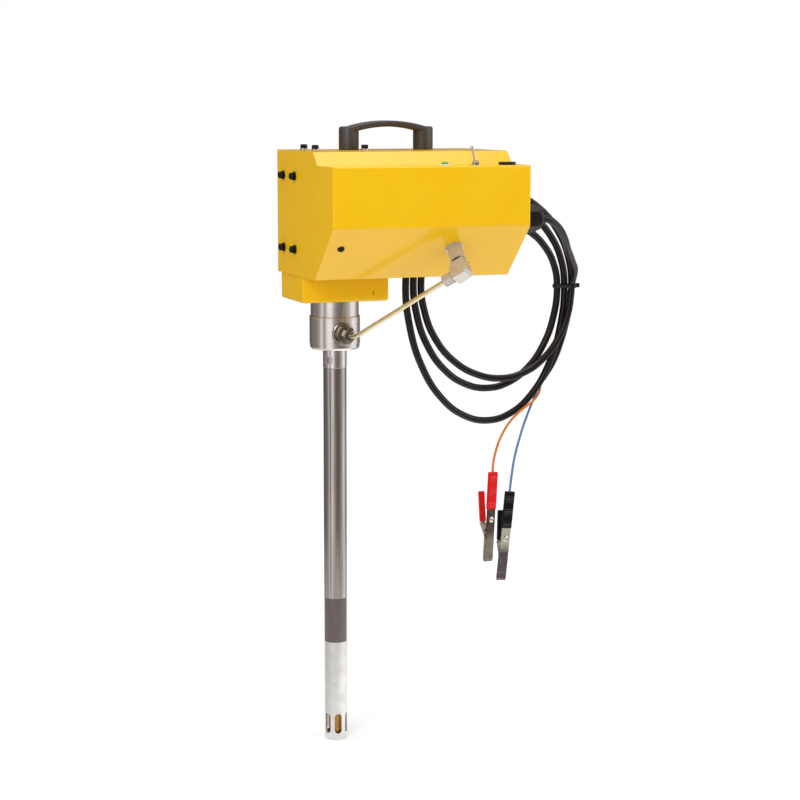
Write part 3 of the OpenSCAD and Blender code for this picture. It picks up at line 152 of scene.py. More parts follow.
def turn_point(k, s):
    """A point of turn k of the coil, for s from 0 to 4 quarters."""
    keys = ((COIL_RIGHT[k], TIE_Z), COIL_LOW[k], (COIL_LEFT[k], LEFT_Z), COIL_TOP[k],
            (COIL_RIGHT[k + 1], TIE_Z))
    q = int(s)
    x, z = quarter(keys[q], keys[q + 1], (s - q) * math.pi / 2, q % 2 == 0)
    in_front = min(1, max(0, (FRONT_UNTIL - s) / FRONT_FADE)) if k == 0 else 0
    return x, COIL_Y + FRONT_SHIFT * in_front, z


def route_length(points):
    """The length of a route in metres."""
    return sum((b - a).length for a, b in zip(points, points[1:]))


coil = [turn_point(k, 4 * i / STEPS) for k in range(TURNS) for i in range(STEPS)]
coil_end = (COIL_RIGHT[TURNS], COIL_Y, TIE_Z)
cable_points = [Vector(p) * MM for p in LEAD + coil + [coil_end] + TAIL]
print("cable route in m:", round(route_length(cable_points), 3), "points:", len(cable_points))

# %% [markdown]
# The two wires come out of the cable's end side by side and part on their way to the clips.
# Their first and last points are found from the cable's end and from each clip's pivot, as
# the solids do it.

# %% Places of the clips
RED_PIVOT, BLACK_PIVOT = Vector((246, 62, -249)), Vector((269, 64, -278))
RED_LEAN, BLACK_LEAN = math.radians(2.8), math.radians(5.7)
RED_TURN, BLACK_TURN = math.radians(14), math.radians(-1)
CLIP_DEPTH, CLIP_T, GRIP_HIGH, RIVET_UP, JAW_LEN = 8.5, 1, 84, 18, 41


def clip_matrix(pivot, lean, turn):
    """The clip's own frame: its pivot's axis along X, its handles upwards, in mm."""
    leaning = Matrix.Rotation(lean, 4, "Y")
    return Matrix.Translation(pivot) @ leaning @ Matrix.Rotation(turn, 4, "Z")


RED_FRAME = clip_matrix(RED_PIVOT, RED_LEAN, RED_TURN)
BLACK_FRAME = clip_matrix(BLACK_PIVOT, BLACK_LEAN, BLACK_TURN)

# %% Routes of the wires
WIRE_D, FIT, WIRE_APART, FIRST_RUN = 3.4, 0.05, 2.2, 5
WIRE_Y = CLIP_T + WIRE_D / 2 + FIT - CLIP_DEPTH / 2
OVER_SLEEVE, IN_SLEEVE, AT_RIVET = GRIP_HIGH + 12, GRIP_HIGH - 3, RIVET_UP + 6
ORANGE_WAY = [
    (327, 75, -57), (319, 67, -64), (308, 61, -71), (296, 59, -78), (284, 59, -87),
    (274, 59, -97), (265, 59, -110), (258.5, 59, -123), (254, 60, -138)]
BLUE_WAY = [
    (328, 84, -56), (322, 82, -68), (315, 79, -80), (308, 76, -93), (301, 73, -107),
    (295, 70, -121), (289, 67, -136), (284, 64.5, -152), (280.5, 62.5, -168)]


def wire_route(side, middle, clip):
    """A wire's points in metres, from the cable's end to the rivet of its clip."""
    end, way = Vector(TAIL[-1]), (Vector(TAIL[-1]) - Vector(TAIL[-2])).normalized()
    start = end + Vector((0, side, 0))
    stops = [clip @ Vector((0, WIRE_Y, z)) for z in (OVER_SLEEVE, IN_SLEEVE, AT_RIVET)]
    return [Vector(p) * MM for p in [start, start + FIRST_RUN * way, *map(Vector, middle), *stops]]


orange_points = wire_route(-WIRE_APART, ORANGE_WAY, RED_FRAME)
blue_points = wire_route(WIRE_APART, BLUE_WAY, BLACK_FRAME)

# %% [markdown]
# A cord could be a mesh swept by hand, but a Bezier curve through the points is smooth by
# itself. Its bevel is 1 m, and each point's own radius brings that down to the cord's half
# thickness, because a curve's box grows by these radii and then fits the cord.

# %% Cords as curves
ROUND_STEPS, STEPS_BETWEEN = 5, 6


def cord_curve(name, points, diameter, node):
    """A smooth curve through the points, with a round bevel, in place of a node."""
    data = bpy.data.curves.new(name, "CURVE")
    data.dimensions = "3D"
    data.bevel_depth = 1
    data.bevel_resolution = ROUND_STEPS
    data.resolution_u = STEPS_BETWEEN
    data.use_fill_caps = True
    spline = data.splines.new("BEZIER")
    spline.bezier_points.add(len(points) - 1)
    for point, bezier in zip(points, spline.bezier_points):
        bezier.co = point
        bezier.radius = diameter / 2 * MM
        bezier.handle_left_type = bezier.handle_right_type = "AUTO"
    obj = bpy.data.objects.new(name, data)
    bpy.context.scene.collection.objects.link(obj)
    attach(obj, "frame")
    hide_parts(node)
    return obj


cable = cord_curve("battery_cable", cable_points, CABLE_D, "power_cable")
orange = cord_curve("orange_core", orange_points, WIRE_D, "wire_orange")
blue = cord_curve("blue_core", blue_points, WIRE_D, "wire_blue")
print("cords:", [cord.name for cord in (cable, orange, blue)])

# %% [markdown]
# ## Finishes
# Every finish is a small tree of shader nodes. Colours are written as they look on a screen,
# so one function turns them to linear light, and another adds a node with its settings and
# its links. Patterns read Object coordinates, which are metres here, and their scales are
# worked out from sizes in millimetres.

# %% Colour and node helpers
def linear(hex_colour):
    """An sRGB hex colour as linear RGBA."""
    parts = [int(hex_colour[i:i + 2], 16) / 255 for i in (1, 3, 5)]
    return tuple(c / 12.92 if c <= 0.04045 else ((c + 0.055) / 1.055) ** 2.4 for c in parts) + (1,)


def add(tree, kind, inputs=None, **settings):
    """Adds a node; a value in inputs that is a socket becomes a link."""
    made = tree.nodes.new(kind)
    for key, value in settings.items():
        setattr(made, key, value)
    for key, value in (inputs or {}).items():
        if isinstance(value, bpy.types.NodeSocket):
            tree.links.new(value, made.inputs[key])
        else:
            made.inputs[key].default_value = value
    return made


def per_mm(size):
    """The texture scale at which one feature of a pattern is this many millimetres wide."""
    return 1 / (size * MM)


def finish(name, **inputs):
    """A material with one shader, its tree and the shader."""
    material = bpy.data.materials.new(name)
    material.use_nodes = True
    tree = material.node_tree
    tree.nodes.clear()
    shader = add(tree, "ShaderNodeBsdfPrincipled", inputs)
    add(tree, "ShaderNodeOutputMaterial", {"Surface": shader.outputs[0]})
    return material, tree, shader


# %% [markdown]
# Real surfaces differ by how large their patches are, how rough they get and how deep their
# grain is. So one function makes them all from two noises: a wide one moves the colour and
# the roughness, and a fine one darkens the colour in specks and raises the relief.

# %% A finish with a pattern
COLOUR_A, COLOUR_B, MIXED = 6, 7, 2   # a Mix node's sockets for colours
DETAIL, FINEST = 3.0, 0.5
USUAL = {"From Min": 0.3, "From Max": 0.7}   # where nearly all values of a noise lie


def patterned(name, colours, grain, rough, bump=0, depth=0.0, stretch=(1, 1, 1), speck=0.0,
              round_z=False, fade=None, **inputs):
    """A finish whose colour, roughness and relief follow noises.

    colours are two hex values, grain the size of the colour's patches in mm, rough the two
    limits of the roughness, bump the size of the relief's grain and depth its height, in mm.
    speck is how far the fine grain darkens the colour, and round_z stretches highlights as
    lines turned round the Z axis do. fade gives two heights in mm between which the first
    colour turns into the second.
    """
    material, tree, shader = finish(name, **inputs)
    where = add(tree, "ShaderNodeTexCoord").outputs["Object"]
    drawn = add(tree, "ShaderNodeMapping", {"Vector": where, "Scale": stretch}).outputs[0]
    patches = add(tree, "ShaderNodeTexNoise", {
        "Vector": drawn, "Scale": per_mm(grain), "Detail": DETAIL}).outputs[0]
    share = patches
    if fade:
        high = add(tree, "ShaderNodeSeparateXYZ", {0: where}).outputs[2]
        along = add(tree, "ShaderNodeMapRange", {
            "Value": high, "From Min": fade[0] * MM, "From Max": fade[1] * MM})
        wander = add(tree, "ShaderNodeMath", {0: patches, 1: 0.5}, operation="SUBTRACT")
        share = add(tree, "ShaderNodeMath", {0: wander.outputs[0], 1: along.outputs[0]},
                    operation="ADD", use_clamp=True).outputs[0]
    colour = add(tree, "ShaderNodeMix", {
        "Factor": share, COLOUR_A: linear(colours[0]), COLOUR_B: linear(colours[1])},
        data_type="RGBA").outputs[MIXED]
    fine = add(tree, "ShaderNodeTexNoise", {
        "Vector": drawn, "Scale": per_mm(max(bump, FINEST)), "Detail": DETAIL}).outputs[0]
    if speck:
        shade = add(tree, "ShaderNodeMapRange", {
            "Value": fine, **USUAL, "To Min": 1 - speck, "To Max": 1.0})
        colour = add(tree, "ShaderNodeMix", {
            "Factor": 1.0, COLOUR_A: colour, COLOUR_B: shade.outputs[0]},
            data_type="RGBA", blend_type="MULTIPLY").outputs[MIXED]
    tree.links.new(colour, shader.inputs["Base Color"])
    spread = add(tree, "ShaderNodeMapRange", {
        "Value": patches, **USUAL, "To Min": rough[0], "To Max": rough[1]})
    tree.links.new(spread.outputs[0], shader.inputs["Roughness"])
    if depth:
        relief = add(tree, "ShaderNodeBump", {
            "Height": fine, "Strength": 1.0, "Distance": depth * MM})
        tree.links.new(relief.outputs[0], shader.inputs["Normal"])
    if round_z:
        tangent = add(tree, "ShaderNodeTangent", direction_type="RADIAL", axis="Z")
        tree.links.new(tangent.outputs[0], shader.inputs["Tangent"])
    return material


# %% [markdown]
# ### Painted sheet
# The housing and the tray are folded steel sheet under a glossy yellow enamel, baked on. It
# gives a clear reflection that a faint orange peel, some 2 mm wide, softens a little.

# %% Yellow enamel
enamel = patterned("yellow_baked_enamel", ("#EFB900", "#F4C000"), 60, (0.15, 0.21),
                   bump=2.2, depth=0.01, IOR=1.46)
print("enamel:", enamel.name)

# %% [markdown]
# ### Bare metals
# The pump head is turned from aluminium, the tube is drawn steel and the foot is aluminium
# that was blasted. Lines from turning run round the axis, so the noise is squeezed along Z,
# and highlights run up and down. Real lines and grains are too fine to show, so the turned
# lines are drawn 0.4 mm apart, the streaks 2.4 mm and the blasted grain 0.8 mm wide.

# %% Turned, drawn and blasted metal
# Turning spreads each highlight into upright bands.
turned_aluminium = patterned("turned_aluminium", ("#EAE5E2", "#D3CCC8"), 34, (0.12, 0.19),
                             bump=22, depth=0.012, stretch=(1, 1, 60), speck=0.12,
                             round_z=True, Metallic=1.0, Anisotropic=0.6)
# Drawing leaves long streaks along the tube, which mirrors light and dark in stripes.
drawn_steel = patterned("drawn_steel_tube", ("#D8D2CE", "#A89F9A"), 9, (0.1, 0.18),
                        bump=2.4, depth=0.004, stretch=(1, 1, 0.02), speck=0.4,
                        round_z=True, Metallic=1.0)
# Blasting gives an even, nearly white skin without a clear reflection.
blasted_aluminium = patterned("blasted_aluminium", ("#DEDDDC", "#CAC8C6"), 12, (0.34, 0.46),
                              bump=0.8, depth=0.012, speck=0.1, Metallic=1.0)
# Drawn pipe of a copper alloy has a pale gold shine.
pipe_metal = patterned("drawn_copper_nickel", ("#EADFBE", "#C9BA8E"), 9, (0.1, 0.18),
                       bump=3, depth=0.005, speck=0.1, Metallic=1.0)
# Cast brass is grainy and deep yellow.
brass = patterned("cast_brass", ("#B4894A", "#94703A"), 8, (0.3, 0.45),
                  bump=1.5, depth=0.01, speck=0.2, Metallic=1.0)
# A bonded gasket's bare edge is dull and brassy.
gasket_metal = patterned("bonded_gasket", ("#D0A04C", "#A67C36"), 5, (0.3, 0.4),
                         bump=1, depth=0.004, Metallic=1.0)
# Cast iron under thin grey primer hardly shines.
cast_iron = patterned("cast_iron_grey", ("#4A4A4B", "#58585A"), 8, (0.5, 0.65),
                      bump=1.2, depth=0.05, speck=0.2, Metallic=0.5)
print("finishes so far:", len(bpy.data.materials))

# %% [markdown]
# ### Plated metals
# Nuts and screws are steel with a thin coat: zinc, nickel or black oxide. Such a coat is
# partly metal and partly a clear film, so its Metallic may lie between 0 and 1. The clips'
# jaws have zinc with a bichromate film, which turns from pale yellow to brown and violet
# where it is thicker, so their colour fades from one height to another. The pale top of the
# black jaw, the jaws' sides and the rear jaws are painted reflection: a bright band that they
# mirror is painted into their colour.

# %% Plated metal
DULL = {"Specular IOR Level": 0.3}
FILM = {"bump": 1.6, "depth": 0.003, "speck": 0.3, "Metallic": 0.5}
# Zinc plate is pale with a soft, slightly warm shine.
zinc_plate = patterned("zinc_plated_steel", ("#DAD4CC", "#BFB7AD"), 7, (0.2, 0.32),
                       bump=1.5, depth=0.002, speck=0.12, Metallic=0.55)
# Where zinc has aged it is darker and mirrors more.
dark_zinc = patterned("aged_zinc_plate", ("#A1988F", "#7D746B"), 6, (0.12, 0.22),
                      bump=1.5, depth=0.006, speck=0.2, Metallic=1.0)
# Nickel plate is bright and smooth.
nickel_plate = patterned("nickel_plated_brass", ("#D9D5CD", "#BAB4A8"), 8, (0.08, 0.18),
                         bump=3, depth=0.004, speck=0.1, Metallic=1.0)
# Black oxide keeps the steel's grain and a faint shine.
black_oxide = patterned("black_oxide_steel", ("#141313", "#211E1E"), 6, (0.28, 0.42),
                        bump=0.8, depth=0.004, speck=0.2, Metallic=0.4, **DULL)
# The red clip's jaw turns from brown at its pin to straw at its tip.
jaw_brown = patterned("bichromate_steel_brown", ("#4E403B", "#8F8674"), 5, (0.2, 0.34),
                      fade=(-246, -262), **FILM)
# The black clip's jaw turns from straw at its pin to violet at its tip. The pale straw at
# the pin is a painted reflection of a bright band, and the violet is the film's own colour.
black_jaw_film_and_painted_reflection = patterned("bichromate_steel_fading", ("#D5D2BE", "#62525A"), 5, (0.18, 0.3),
                       fade=(-266, -280), **FILM)
# The jaws' sides and the rear jaws are painted pale: a painted reflection of a bright
# band that they mirror.
pale_jaw_painted_reflection = patterned("bichromate_steel_pale", ("#D6D0BC", "#A79D88"), 6, (0.2, 0.34), **FILM)
print("finishes so far:", len(bpy.data.materials))

# %% [markdown]
# ### Plastics and rubber
# The handle is moulded polyamide with an eroded grain, the gland, the fuse cap and the tie
# are black polyamide, the clips wear soft PVC, and the cable has a rubber jacket. Plastics
# mirror little, and their grain breaks up what they mirror. The black ones and the red
# sleeves mirror less still, as worn ones do.

# %% Plastics and rubber
# An eroded mould leaves a matt, sandy grain. It is drawn 0.9 mm wide so that it shows.
handle_plastic = patterned("eroded_polyamide", ("#443C39", "#39322F"), 20, (0.4, 0.5),
                           bump=0.9, depth=0.03, speck=0.3)
# A smooth mould leaves polyamide with a satin shine.
black_polyamide = patterned("black_polyamide", ("#121111", "#1A1818"), 14, (0.22, 0.34),
                            bump=1.0, depth=0.008, speck=0.2, **DULL)
white_polyamide = patterned("white_polyamide", ("#EDEDEA", "#E0E0DC"), 9, (0.3, 0.4),
                            bump=1.5, depth=0.004, speck=0.05)
# An extruded rubber jacket shows one long, soft highlight.
cable_rubber = patterned("rubber_jacket", ("#161112", "#201A1A"), 12, (0.2, 0.3),
                         bump=1.6, depth=0.012, speck=0.2, **DULL)
# Moulded seals are matt.
seal_rubber = patterned("nitrile_rubber", ("#141313", "#1B1A1A"), 8, (0.5, 0.6),
                        bump=1, depth=0.01, speck=0.2)
# A sleeve shrunk on by heat shines a little and keeps faint lines along the tube.
sleeve_brown = patterned("brown_shrink_sleeve", ("#695C5B", "#574A4A"), 16, (0.26, 0.38),
                         bump=3, depth=0.01, stretch=(1, 1, 0.15), speck=0.25, IOR=1.6)
# Extruded PVC on wire is smooth and even.
orange_pvc = patterned("orange_pvc", ("#E58122", "#D9731A"), 12, (0.3, 0.42),
                       bump=2, depth=0.006, speck=0.1)
blue_pvc = patterned("blue_pvc", ("#6488BC", "#567AAE"), 12, (0.3, 0.42),
                     bump=2, depth=0.006, speck=0.1)
# Dipped soft PVC is glossy and slightly wavy.
red_pvc = patterned("red_soft_pvc", ("#EA0A0A", "#D40606"), 14, (0.14, 0.22),
                    bump=5, depth=0.05, speck=0.08, **DULL)
black_pvc = patterned("black_soft_pvc", ("#0C0B0B", "#131212"), 14, (0.12, 0.2),
                      bump=5, depth=0.05, speck=0.2, **DULL)
# The lamp's lens is clear green plastic with a polished face.
lens_green = patterned("green_lamp_lens", ("#1F8A22", "#2FA02C"), 4, (0.08, 0.14),
                       bump=2, depth=0.004, speck=0.1, **{"Coat Weight": 0.6})
print("finishes in all:", len(bpy.data.materials))

# %% [markdown]
# ## Dressing the solids
# A solid comes in as loose flat triangles. A copy whose doubles are merged, whose flat faces
# are joined again and whose edges get a small bevel catches the light as a real edge does.
# The copy then stands for the node, and keeps its shape. A folded jaw gets a second, paler
# finish on the faces that look left and right: a painted reflection of bright light from the
# side.

# %% Dress a node
DOUBLES, STILL_FLAT, EDGE_ANGLE = 0.004 * MM, math.radians(0.4), math.radians(32)
# Faces turned this far along X take the sides' finish, a painted reflection.
SIDES_WITH_PAINTED_REFLECTION, BEVEL_STEPS = 0.8, 2


def dressed(node, material, bevel, sides=None):
    """Dresses a node; sides is a second finish, a painted reflection, for the faces that look left
    and right.
    """
    source = frame["nodes"][node]
    body = source["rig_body"]
    mesh = source.data.copy()
    mesh.name = node + "_skin"
    work = bmesh.new()
    work.from_mesh(mesh)
    bmesh.ops.remove_doubles(work, verts=work.verts, dist=DOUBLES)
    bmesh.ops.dissolve_limit(work, angle_limit=STILL_FLAT, verts=work.verts, edges=work.edges)
    for face in work.faces:
        face.smooth = True
        # Faces that look left or right take the second finish: a painted reflection.
        face.material_index = int(sides is not None and abs(face.normal.x) > SIDES_WITH_PAINTED_REFLECTION)
    for edge in work.edges:
        if len(edge.link_faces) == 2:
            edge.smooth = edge.calc_face_angle(0) < EDGE_ANGLE
    work.to_mesh(mesh)
    work.free()
    mesh.materials.clear()
    for finish_used in filter(None, (material, sides)):
        mesh.materials.append(finish_used)
    obj = bpy.data.objects.new(node + "_skin", mesh)
    bpy.context.scene.collection.objects.link(obj)
    if bevel:
        rounding = obj.modifiers.new("edges", "BEVEL")
        rounding.width = bevel * MM
        rounding.segments = BEVEL_STEPS
        rounding.limit_method = "ANGLE"
        rounding.angle_limit = EDGE_ANGLE
        rounding.harden_normals = True
    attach(obj, body)
    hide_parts(node)
    return obj


# %% [markdown]
# One table says which finish each piece has and how far its edges are rounded, in mm. Round
# pieces without a sharp edge get no bevel.

# %% Finishes of the pieces
FINISHES = [
    (enamel, 0.3, ["housing_shell", "rear_cover", "base_tray"]),
    (turned_aluminium, 0.0, ["pump_head_upper", "pump_head_lower"]),
    (turned_aluminium, 0.2, ["tube_collar"]),
    (drawn_steel, 0.0, ["suction_tube"]),
    (blasted_aluminium, 0.4, ["foot_tube"]),
    (sleeve_brown, 0.2, ["tube_sleeve"]),
    (gasket_metal, 0.0, ["head_gasket"]),
    (brass, 0.3, ["foot_valve_body", "foot_valve_plate"]),
    (dark_zinc, 0.25, ["outlet_nut", "outlet_adapter"]),
    (zinc_plate, 0.25, ["pipe_nut", "bulkhead_adapter", "elbow", "bulkhead_washer",
                        "head_bolts", "pump_rod", "support_frame", "yoke", "crank"]),
    (nickel_plate, 0.15, ["top_washers", "toggle_body", "toggle_nut"]),
    (nickel_plate, 0.0, ["toggle_lever"]),
    (pipe_metal, 0.0, ["pressure_pipe"]),
    (black_oxide, 0.2, ["panel_screws", "end_washers", "rear_screws", "handle_screws"]),
    (cast_iron, 0.5, ["gearbox", "motor", "pressure_switch"]),
    (handle_plastic, 0.0, ["carry_handle"]),
    (black_polyamide, 0.25, ["gland_body", "gland_nut", "gland_locknut", "fuse_holder",
                             "fuse_cap", "cable_tie"]),
    (seal_rubber, 0.2, ["rod_seal", "elbow_seal", "piston"]),
    (white_polyamide, 0.15, ["lamp_bezel"]),
    (lens_green, 0.0, ["lamp_lens"]),
    (jaw_brown, 0.2, ["red_jaw_fixed"]),
    # The black jaw's pale top and the rear jaws are painted reflection of a bright band.
    (black_jaw_film_and_painted_reflection, 0.2, ["black_jaw_fixed"]),
    (pale_jaw_painted_reflection, 0.2, ["red_jaw_moving", "black_jaw_moving"]),
    (nickel_plate, 0.15, ["red_pins", "black_pins"]),
    (red_pvc, 0.5, ["red_grip", "red_lever_grip"]),
    (black_pvc, 0.5, ["black_grip", "black_lever_grip"]),
]
CORD_FINISHES = [(cable, cable_rubber, "power_cable"), (orange, orange_pvc, "wire_orange"),
                 (blue, blue_pvc, "wire_blue")]

for material, bevel, nodes in FINISHES:
    for node in nodes:
        # A jaw's left and right faces get the pale finish, a painted reflection.
        dressed(node, material, bevel, sides=pale_jaw_painted_reflection if "jaw" in node else None)
for cord, material, node in CORD_FINISHES:
    cord.data.materials.append(material)

# %% [markdown]
# ## Pieces that repeat
# Knurls, thread turns and stamped ribs are one small shape many times over. A node tree takes
# that shape in, sets it on a row of points with a turn at each, and gives back real geometry.
# Copies made in a loop would do as well, but the tree keeps count, step and turn as inputs.

# %% A tree that repeats one shape
def repeat_tree():
    """The tree, and the identifiers of its inputs for the count, step, turn and finish."""
    tree = bpy.data.node_groups.new("repeat_shape", "GeometryNodeTree")
    new = tree.interface.new_socket
    new("Geometry", in_out="INPUT", socket_type="NodeSocketGeometry")
    ids = {label: new(label, in_out="INPUT", socket_type=kind).identifier for label, kind in (
        ("Count", "NodeSocketInt"), ("Step", "NodeSocketVector"),
        ("Turn", "NodeSocketVector"), ("Material", "NodeSocketMaterial"))}
    new("Geometry", in_out="OUTPUT", socket_type="NodeSocketGeometry")
    given = tree.nodes.new("NodeGroupInput").outputs
    line = add(tree, "GeometryNodeMeshLine", {"Count": given["Count"], "Offset": given["Step"]},
               mode="OFFSET")
    index = add(tree, "GeometryNodeInputIndex")
    angle = add(tree, "ShaderNodeVectorMath", {0: given["Turn"], "Scale": index.outputs[0]},
                operation="SCALE")
    turn = add(tree, "FunctionNodeEulerToRotation", {0: angle.outputs[0]})
    placed = add(tree, "GeometryNodeInstanceOnPoints", {
        "Points": line.outputs[0], "Instance": given["Geometry"], "Rotation": turn.outputs[0]})
    real = add(tree, "GeometryNodeRealizeInstances", {0: placed.outputs[0]})
    coated = add(tree, "GeometryNodeSetMaterial", {
        "Geometry": real.outputs[0], "Material": given["Material"]})
    add(tree, "NodeGroupOutput", {0: coated.outputs[0]})
    return tree, ids


REPEAT, REPEAT_IDS = repeat_tree()
print("inputs of the tree:", list(REPEAT_IDS))

# %% [markdown]
# Two small shapes are enough: a bar with rounded edges, for knurls and ribs, and a hoop of
# round wire, for a thread's turns and a crimp. A few dozen faces each will do, because they
# are repeated.

# %% Small shapes
def mesh_of(work, name):
    """The work as a mesh."""
    mesh = bpy.data.meshes.new(name)
    work.to_mesh(mesh)
    work.free()
    return mesh


def bar(size, at, round_edge):
    """A block with rounded edges, its size and its middle in mm."""
    work = bmesh.new()
    bmesh.ops.create_cube(work, size=1)
    bmesh.ops.scale(work, vec=size, verts=work.verts)
    bmesh.ops.bevel(work, geom=work.edges[:], offset=round_edge, segments=2, affect="EDGES")
    bmesh.ops.translate(work, vec=at, verts=work.verts)
    return mesh_of(work, "bar")


def hoop(radius, wire, sides, ring=8):
    """A ring of round wire about Z, in mm."""
    work = bmesh.new()
    rows = []
    for i in range(sides):
        a = 2 * math.pi * i / sides
        rows.append([])
        for j in range(ring):
            b = 2 * math.pi * j / ring
            out = radius + wire * math.cos(b)
            at = (out * math.cos(a), out * math.sin(a), wire * math.sin(b))
            rows[-1].append(work.verts.new(at))
    for i in range(sides):
        near, far = rows[i], rows[(i + 1) % sides]
        for j in range(ring):
            work.faces.new((near[j], far[j], far[(j + 1) % ring], near[(j + 1) % ring]))
    return mesh_of(work, "hoop")


# %% [markdown]
# The tree works on a throwaway object, and its result is taken as a plain mesh. Shapes in mm
# are then put in their places in one piece, and their normals are turned outwards.

# %% Repeat a shape and settle a piece
STRAIGHT = (0, 0, 0)


def repeated(shape, count, step, turn, material):
    """The mesh of the shape repeated by the tree, in mm."""
    obj = bpy.data.objects.new("repeating", shape)
    bpy.context.scene.collection.objects.link(obj)
    tool = obj.modifiers.new("repeat", "NODES")
    tool.node_group = REPEAT
    for label, value in (("Count", count), ("Step", step), ("Turn", turn), ("Material", material)):
        tool[REPEAT_IDS[label]] = value
    seen_by = bpy.context.evaluated_depsgraph_get()
    mesh = bpy.data.meshes.new_from_object(obj.evaluated_get(seen_by))
    obj.modifiers.clear()
    bpy.data.objects.remove(obj)
    return mesh


def settled(name, shape, frames, body, material):
    """One piece made of a shape in mm, put in its place by each of the frames."""
    work = bmesh.new()
    for place in frames:
        before = len(work.verts)
        work.from_mesh(shape)
        work.verts.ensure_lookup_table()
        bmesh.ops.transform(work, matrix=Matrix.Scale(MM, 4) @ place, verts=work.verts[before:])
    bmesh.ops.recalc_face_normals(work, faces=work.faces)
    for face in work.faces:
        face.smooth = True
        face.material_index = 0
    whole = mesh_of(work, name)
    whole.materials.append(material)
    obj = bpy.data.objects.new(name, whole)
    bpy.context.scene.collection.objects.link(obj)
    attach(obj, body)
    return obj


# %% [markdown]
# The socket screws' heads have a fine straight knurl. One rib stands on the head's side, and
# the tree turns it 30 times round the screw's axis. The heads stand where the solids have
# them: four on the sheet's top and four on the housing's left end.

# %% Knurls on the socket screws
SHEET_TOP, HOUSE_LEFT, TOP_X, ROW_Y, END_Z = 278, -60, 33, 22.5, (155, 246.5)
HEAD_R, WASHER_T, KNURLS = 4.25, 2, 30
KNURL_SIZE, KNURL_UP, KNURL_ROUND = (0.3, 0.5, 3.6), 2.3, 0.1

knurl = repeated(bar(KNURL_SIZE, (HEAD_R, 0, KNURL_UP), KNURL_ROUND), KNURLS, STRAIGHT,
                 (0, 0, 2 * math.pi / KNURLS), black_oxide)
top_heads = [Matrix.Translation((x, y, SHEET_TOP + WASHER_T))
             for x in (-TOP_X, TOP_X) for y in (-ROW_Y, ROW_Y)]
sideways = Matrix.Rotation(-math.pi / 2, 4, "Y")
end_heads = [Matrix.Translation((HOUSE_LEFT - WASHER_T, y, z)) @ sideways
             for y in (-ROW_Y, ROW_Y) for z in END_Z]
heads = top_heads + end_heads
settled("screw_knurls", knurl, heads, "frame", black_oxide)
print("knurled heads:", len(heads), "faces:", len(knurl.polygons) * len(heads))

# %% [markdown]
# The toggle switch's neck is threaded above its nut. At this size a thread reads as a stack
# of hoops 0.7 mm apart, so four hoops stand for it.

# %% Thread of the toggle switch
TOGGLE_AT, SHELF_Z, NECK_UP = (135.6, -139), 262, 3.6
THREAD_R, THREAD_WIRE, THREAD_PITCH, THREAD_TURNS, THREAD_SIDES = 3.45, 0.22, 0.7, 4, 40

thread = repeated(hoop(THREAD_R, THREAD_WIRE, THREAD_SIDES), THREAD_TURNS,
                  (0, 0, THREAD_PITCH), STRAIGHT, nickel_plate)
neck = Matrix.Translation((*TOGGLE_AT, SHELF_Z + NECK_UP))
settled("toggle_thread", thread, [neck], "frame", nickel_plate)
print("faces of the thread:", len(thread.polygons))

# %% [markdown]
# Each clip has ribs stamped low into both its jaws, and a round crimp where the wire ends.
# The rear jaw's ribs ride on the rear jaw, which opens.

# %% Ribs and crimps of the clips
RIBS, RIB_STEP, RIB_LOW, RIB_PROUD = 5, 1.9, 5.5, 0.1
RIB_CUT, RIB_ROUND, FRONT_RIB, REAR_RIB = (0.7, 0.8), 0.25, 8, 6.5
CRIMP_PLAY, CRIMP_WIRE, CRIMP_TURNS, CRIMP_STEP, CRIMP_SIDES = 0.12, 0.35, 5, 0.62, 32
CRIMP_UP = RIVET_UP + 6.3


def jaw_ribs(length, side, material):
    """A row of ribs, on the front jaw where side is -1 and on the rear jaw where it is 1."""
    at = (0, side * (CLIP_DEPTH / 2 + RIB_PROUD), RIB_LOW - JAW_LEN)
    return repeated(bar((length, *RIB_CUT), at, RIB_ROUND), RIBS, (0, 0, RIB_STEP), STRAIGHT,
                    material)


front_ribs = jaw_ribs(FRONT_RIB, -1, jaw_brown)
# The rear ribs take the pale finish, a painted reflection, like the rear jaw.
rear_ribs = jaw_ribs(REAR_RIB, 1, pale_jaw_painted_reflection)
crimp = repeated(hoop(WIRE_D / 2 + CRIMP_PLAY, CRIMP_WIRE, CRIMP_SIDES), CRIMP_TURNS,
                 (0, 0, CRIMP_STEP), STRAIGHT, nickel_plate)
crimp_at = Matrix.Translation((0, WIRE_Y, CRIMP_UP))
for colour, place, front in (("red", RED_FRAME, jaw_brown), ("black", BLACK_FRAME, black_jaw_film_and_painted_reflection)):
    settled(colour + "_jaw_ribs", front_ribs, [place], "frame", front)
    settled(colour + "_rear_ribs", rear_ribs, [place], colour + "_jaw", pale_jaw_painted_reflection)
    settled(colour + "_crimp", crimp, [place @ crimp_at], "frame",
                nickel_plate)

# %% [markdown]
# ## Floor
# The pump stands on white paper. The camera sees paper with a glow that grows outwards, where
# the lamps reach less, so the ground stays evenly white and only a faint shadow shows.
# Polished pieces see something else: a bright patch under the housing, which lights up its
# slanted face, and clear ground further out, through which the room's walls appear.

# %% Floor
FLOOR_GAP, FLOOR_HALF = 0.0005, 3
FLOOR_Z = cad_box[0].z - FLOOR_GAP
GLOW_REACH, GLOW_NEAR, GLOW_FAR = 3.4, 0.13, 0.46
PATCH_AT, PATCH_FULL, PATCH_END, PATCH_GLOW = (0.3, -0.15, FLOOR_Z), 0.2, 0.5, 0.75
CLEAR_FROM, CLEAR_FULL = 0.55, 1.5


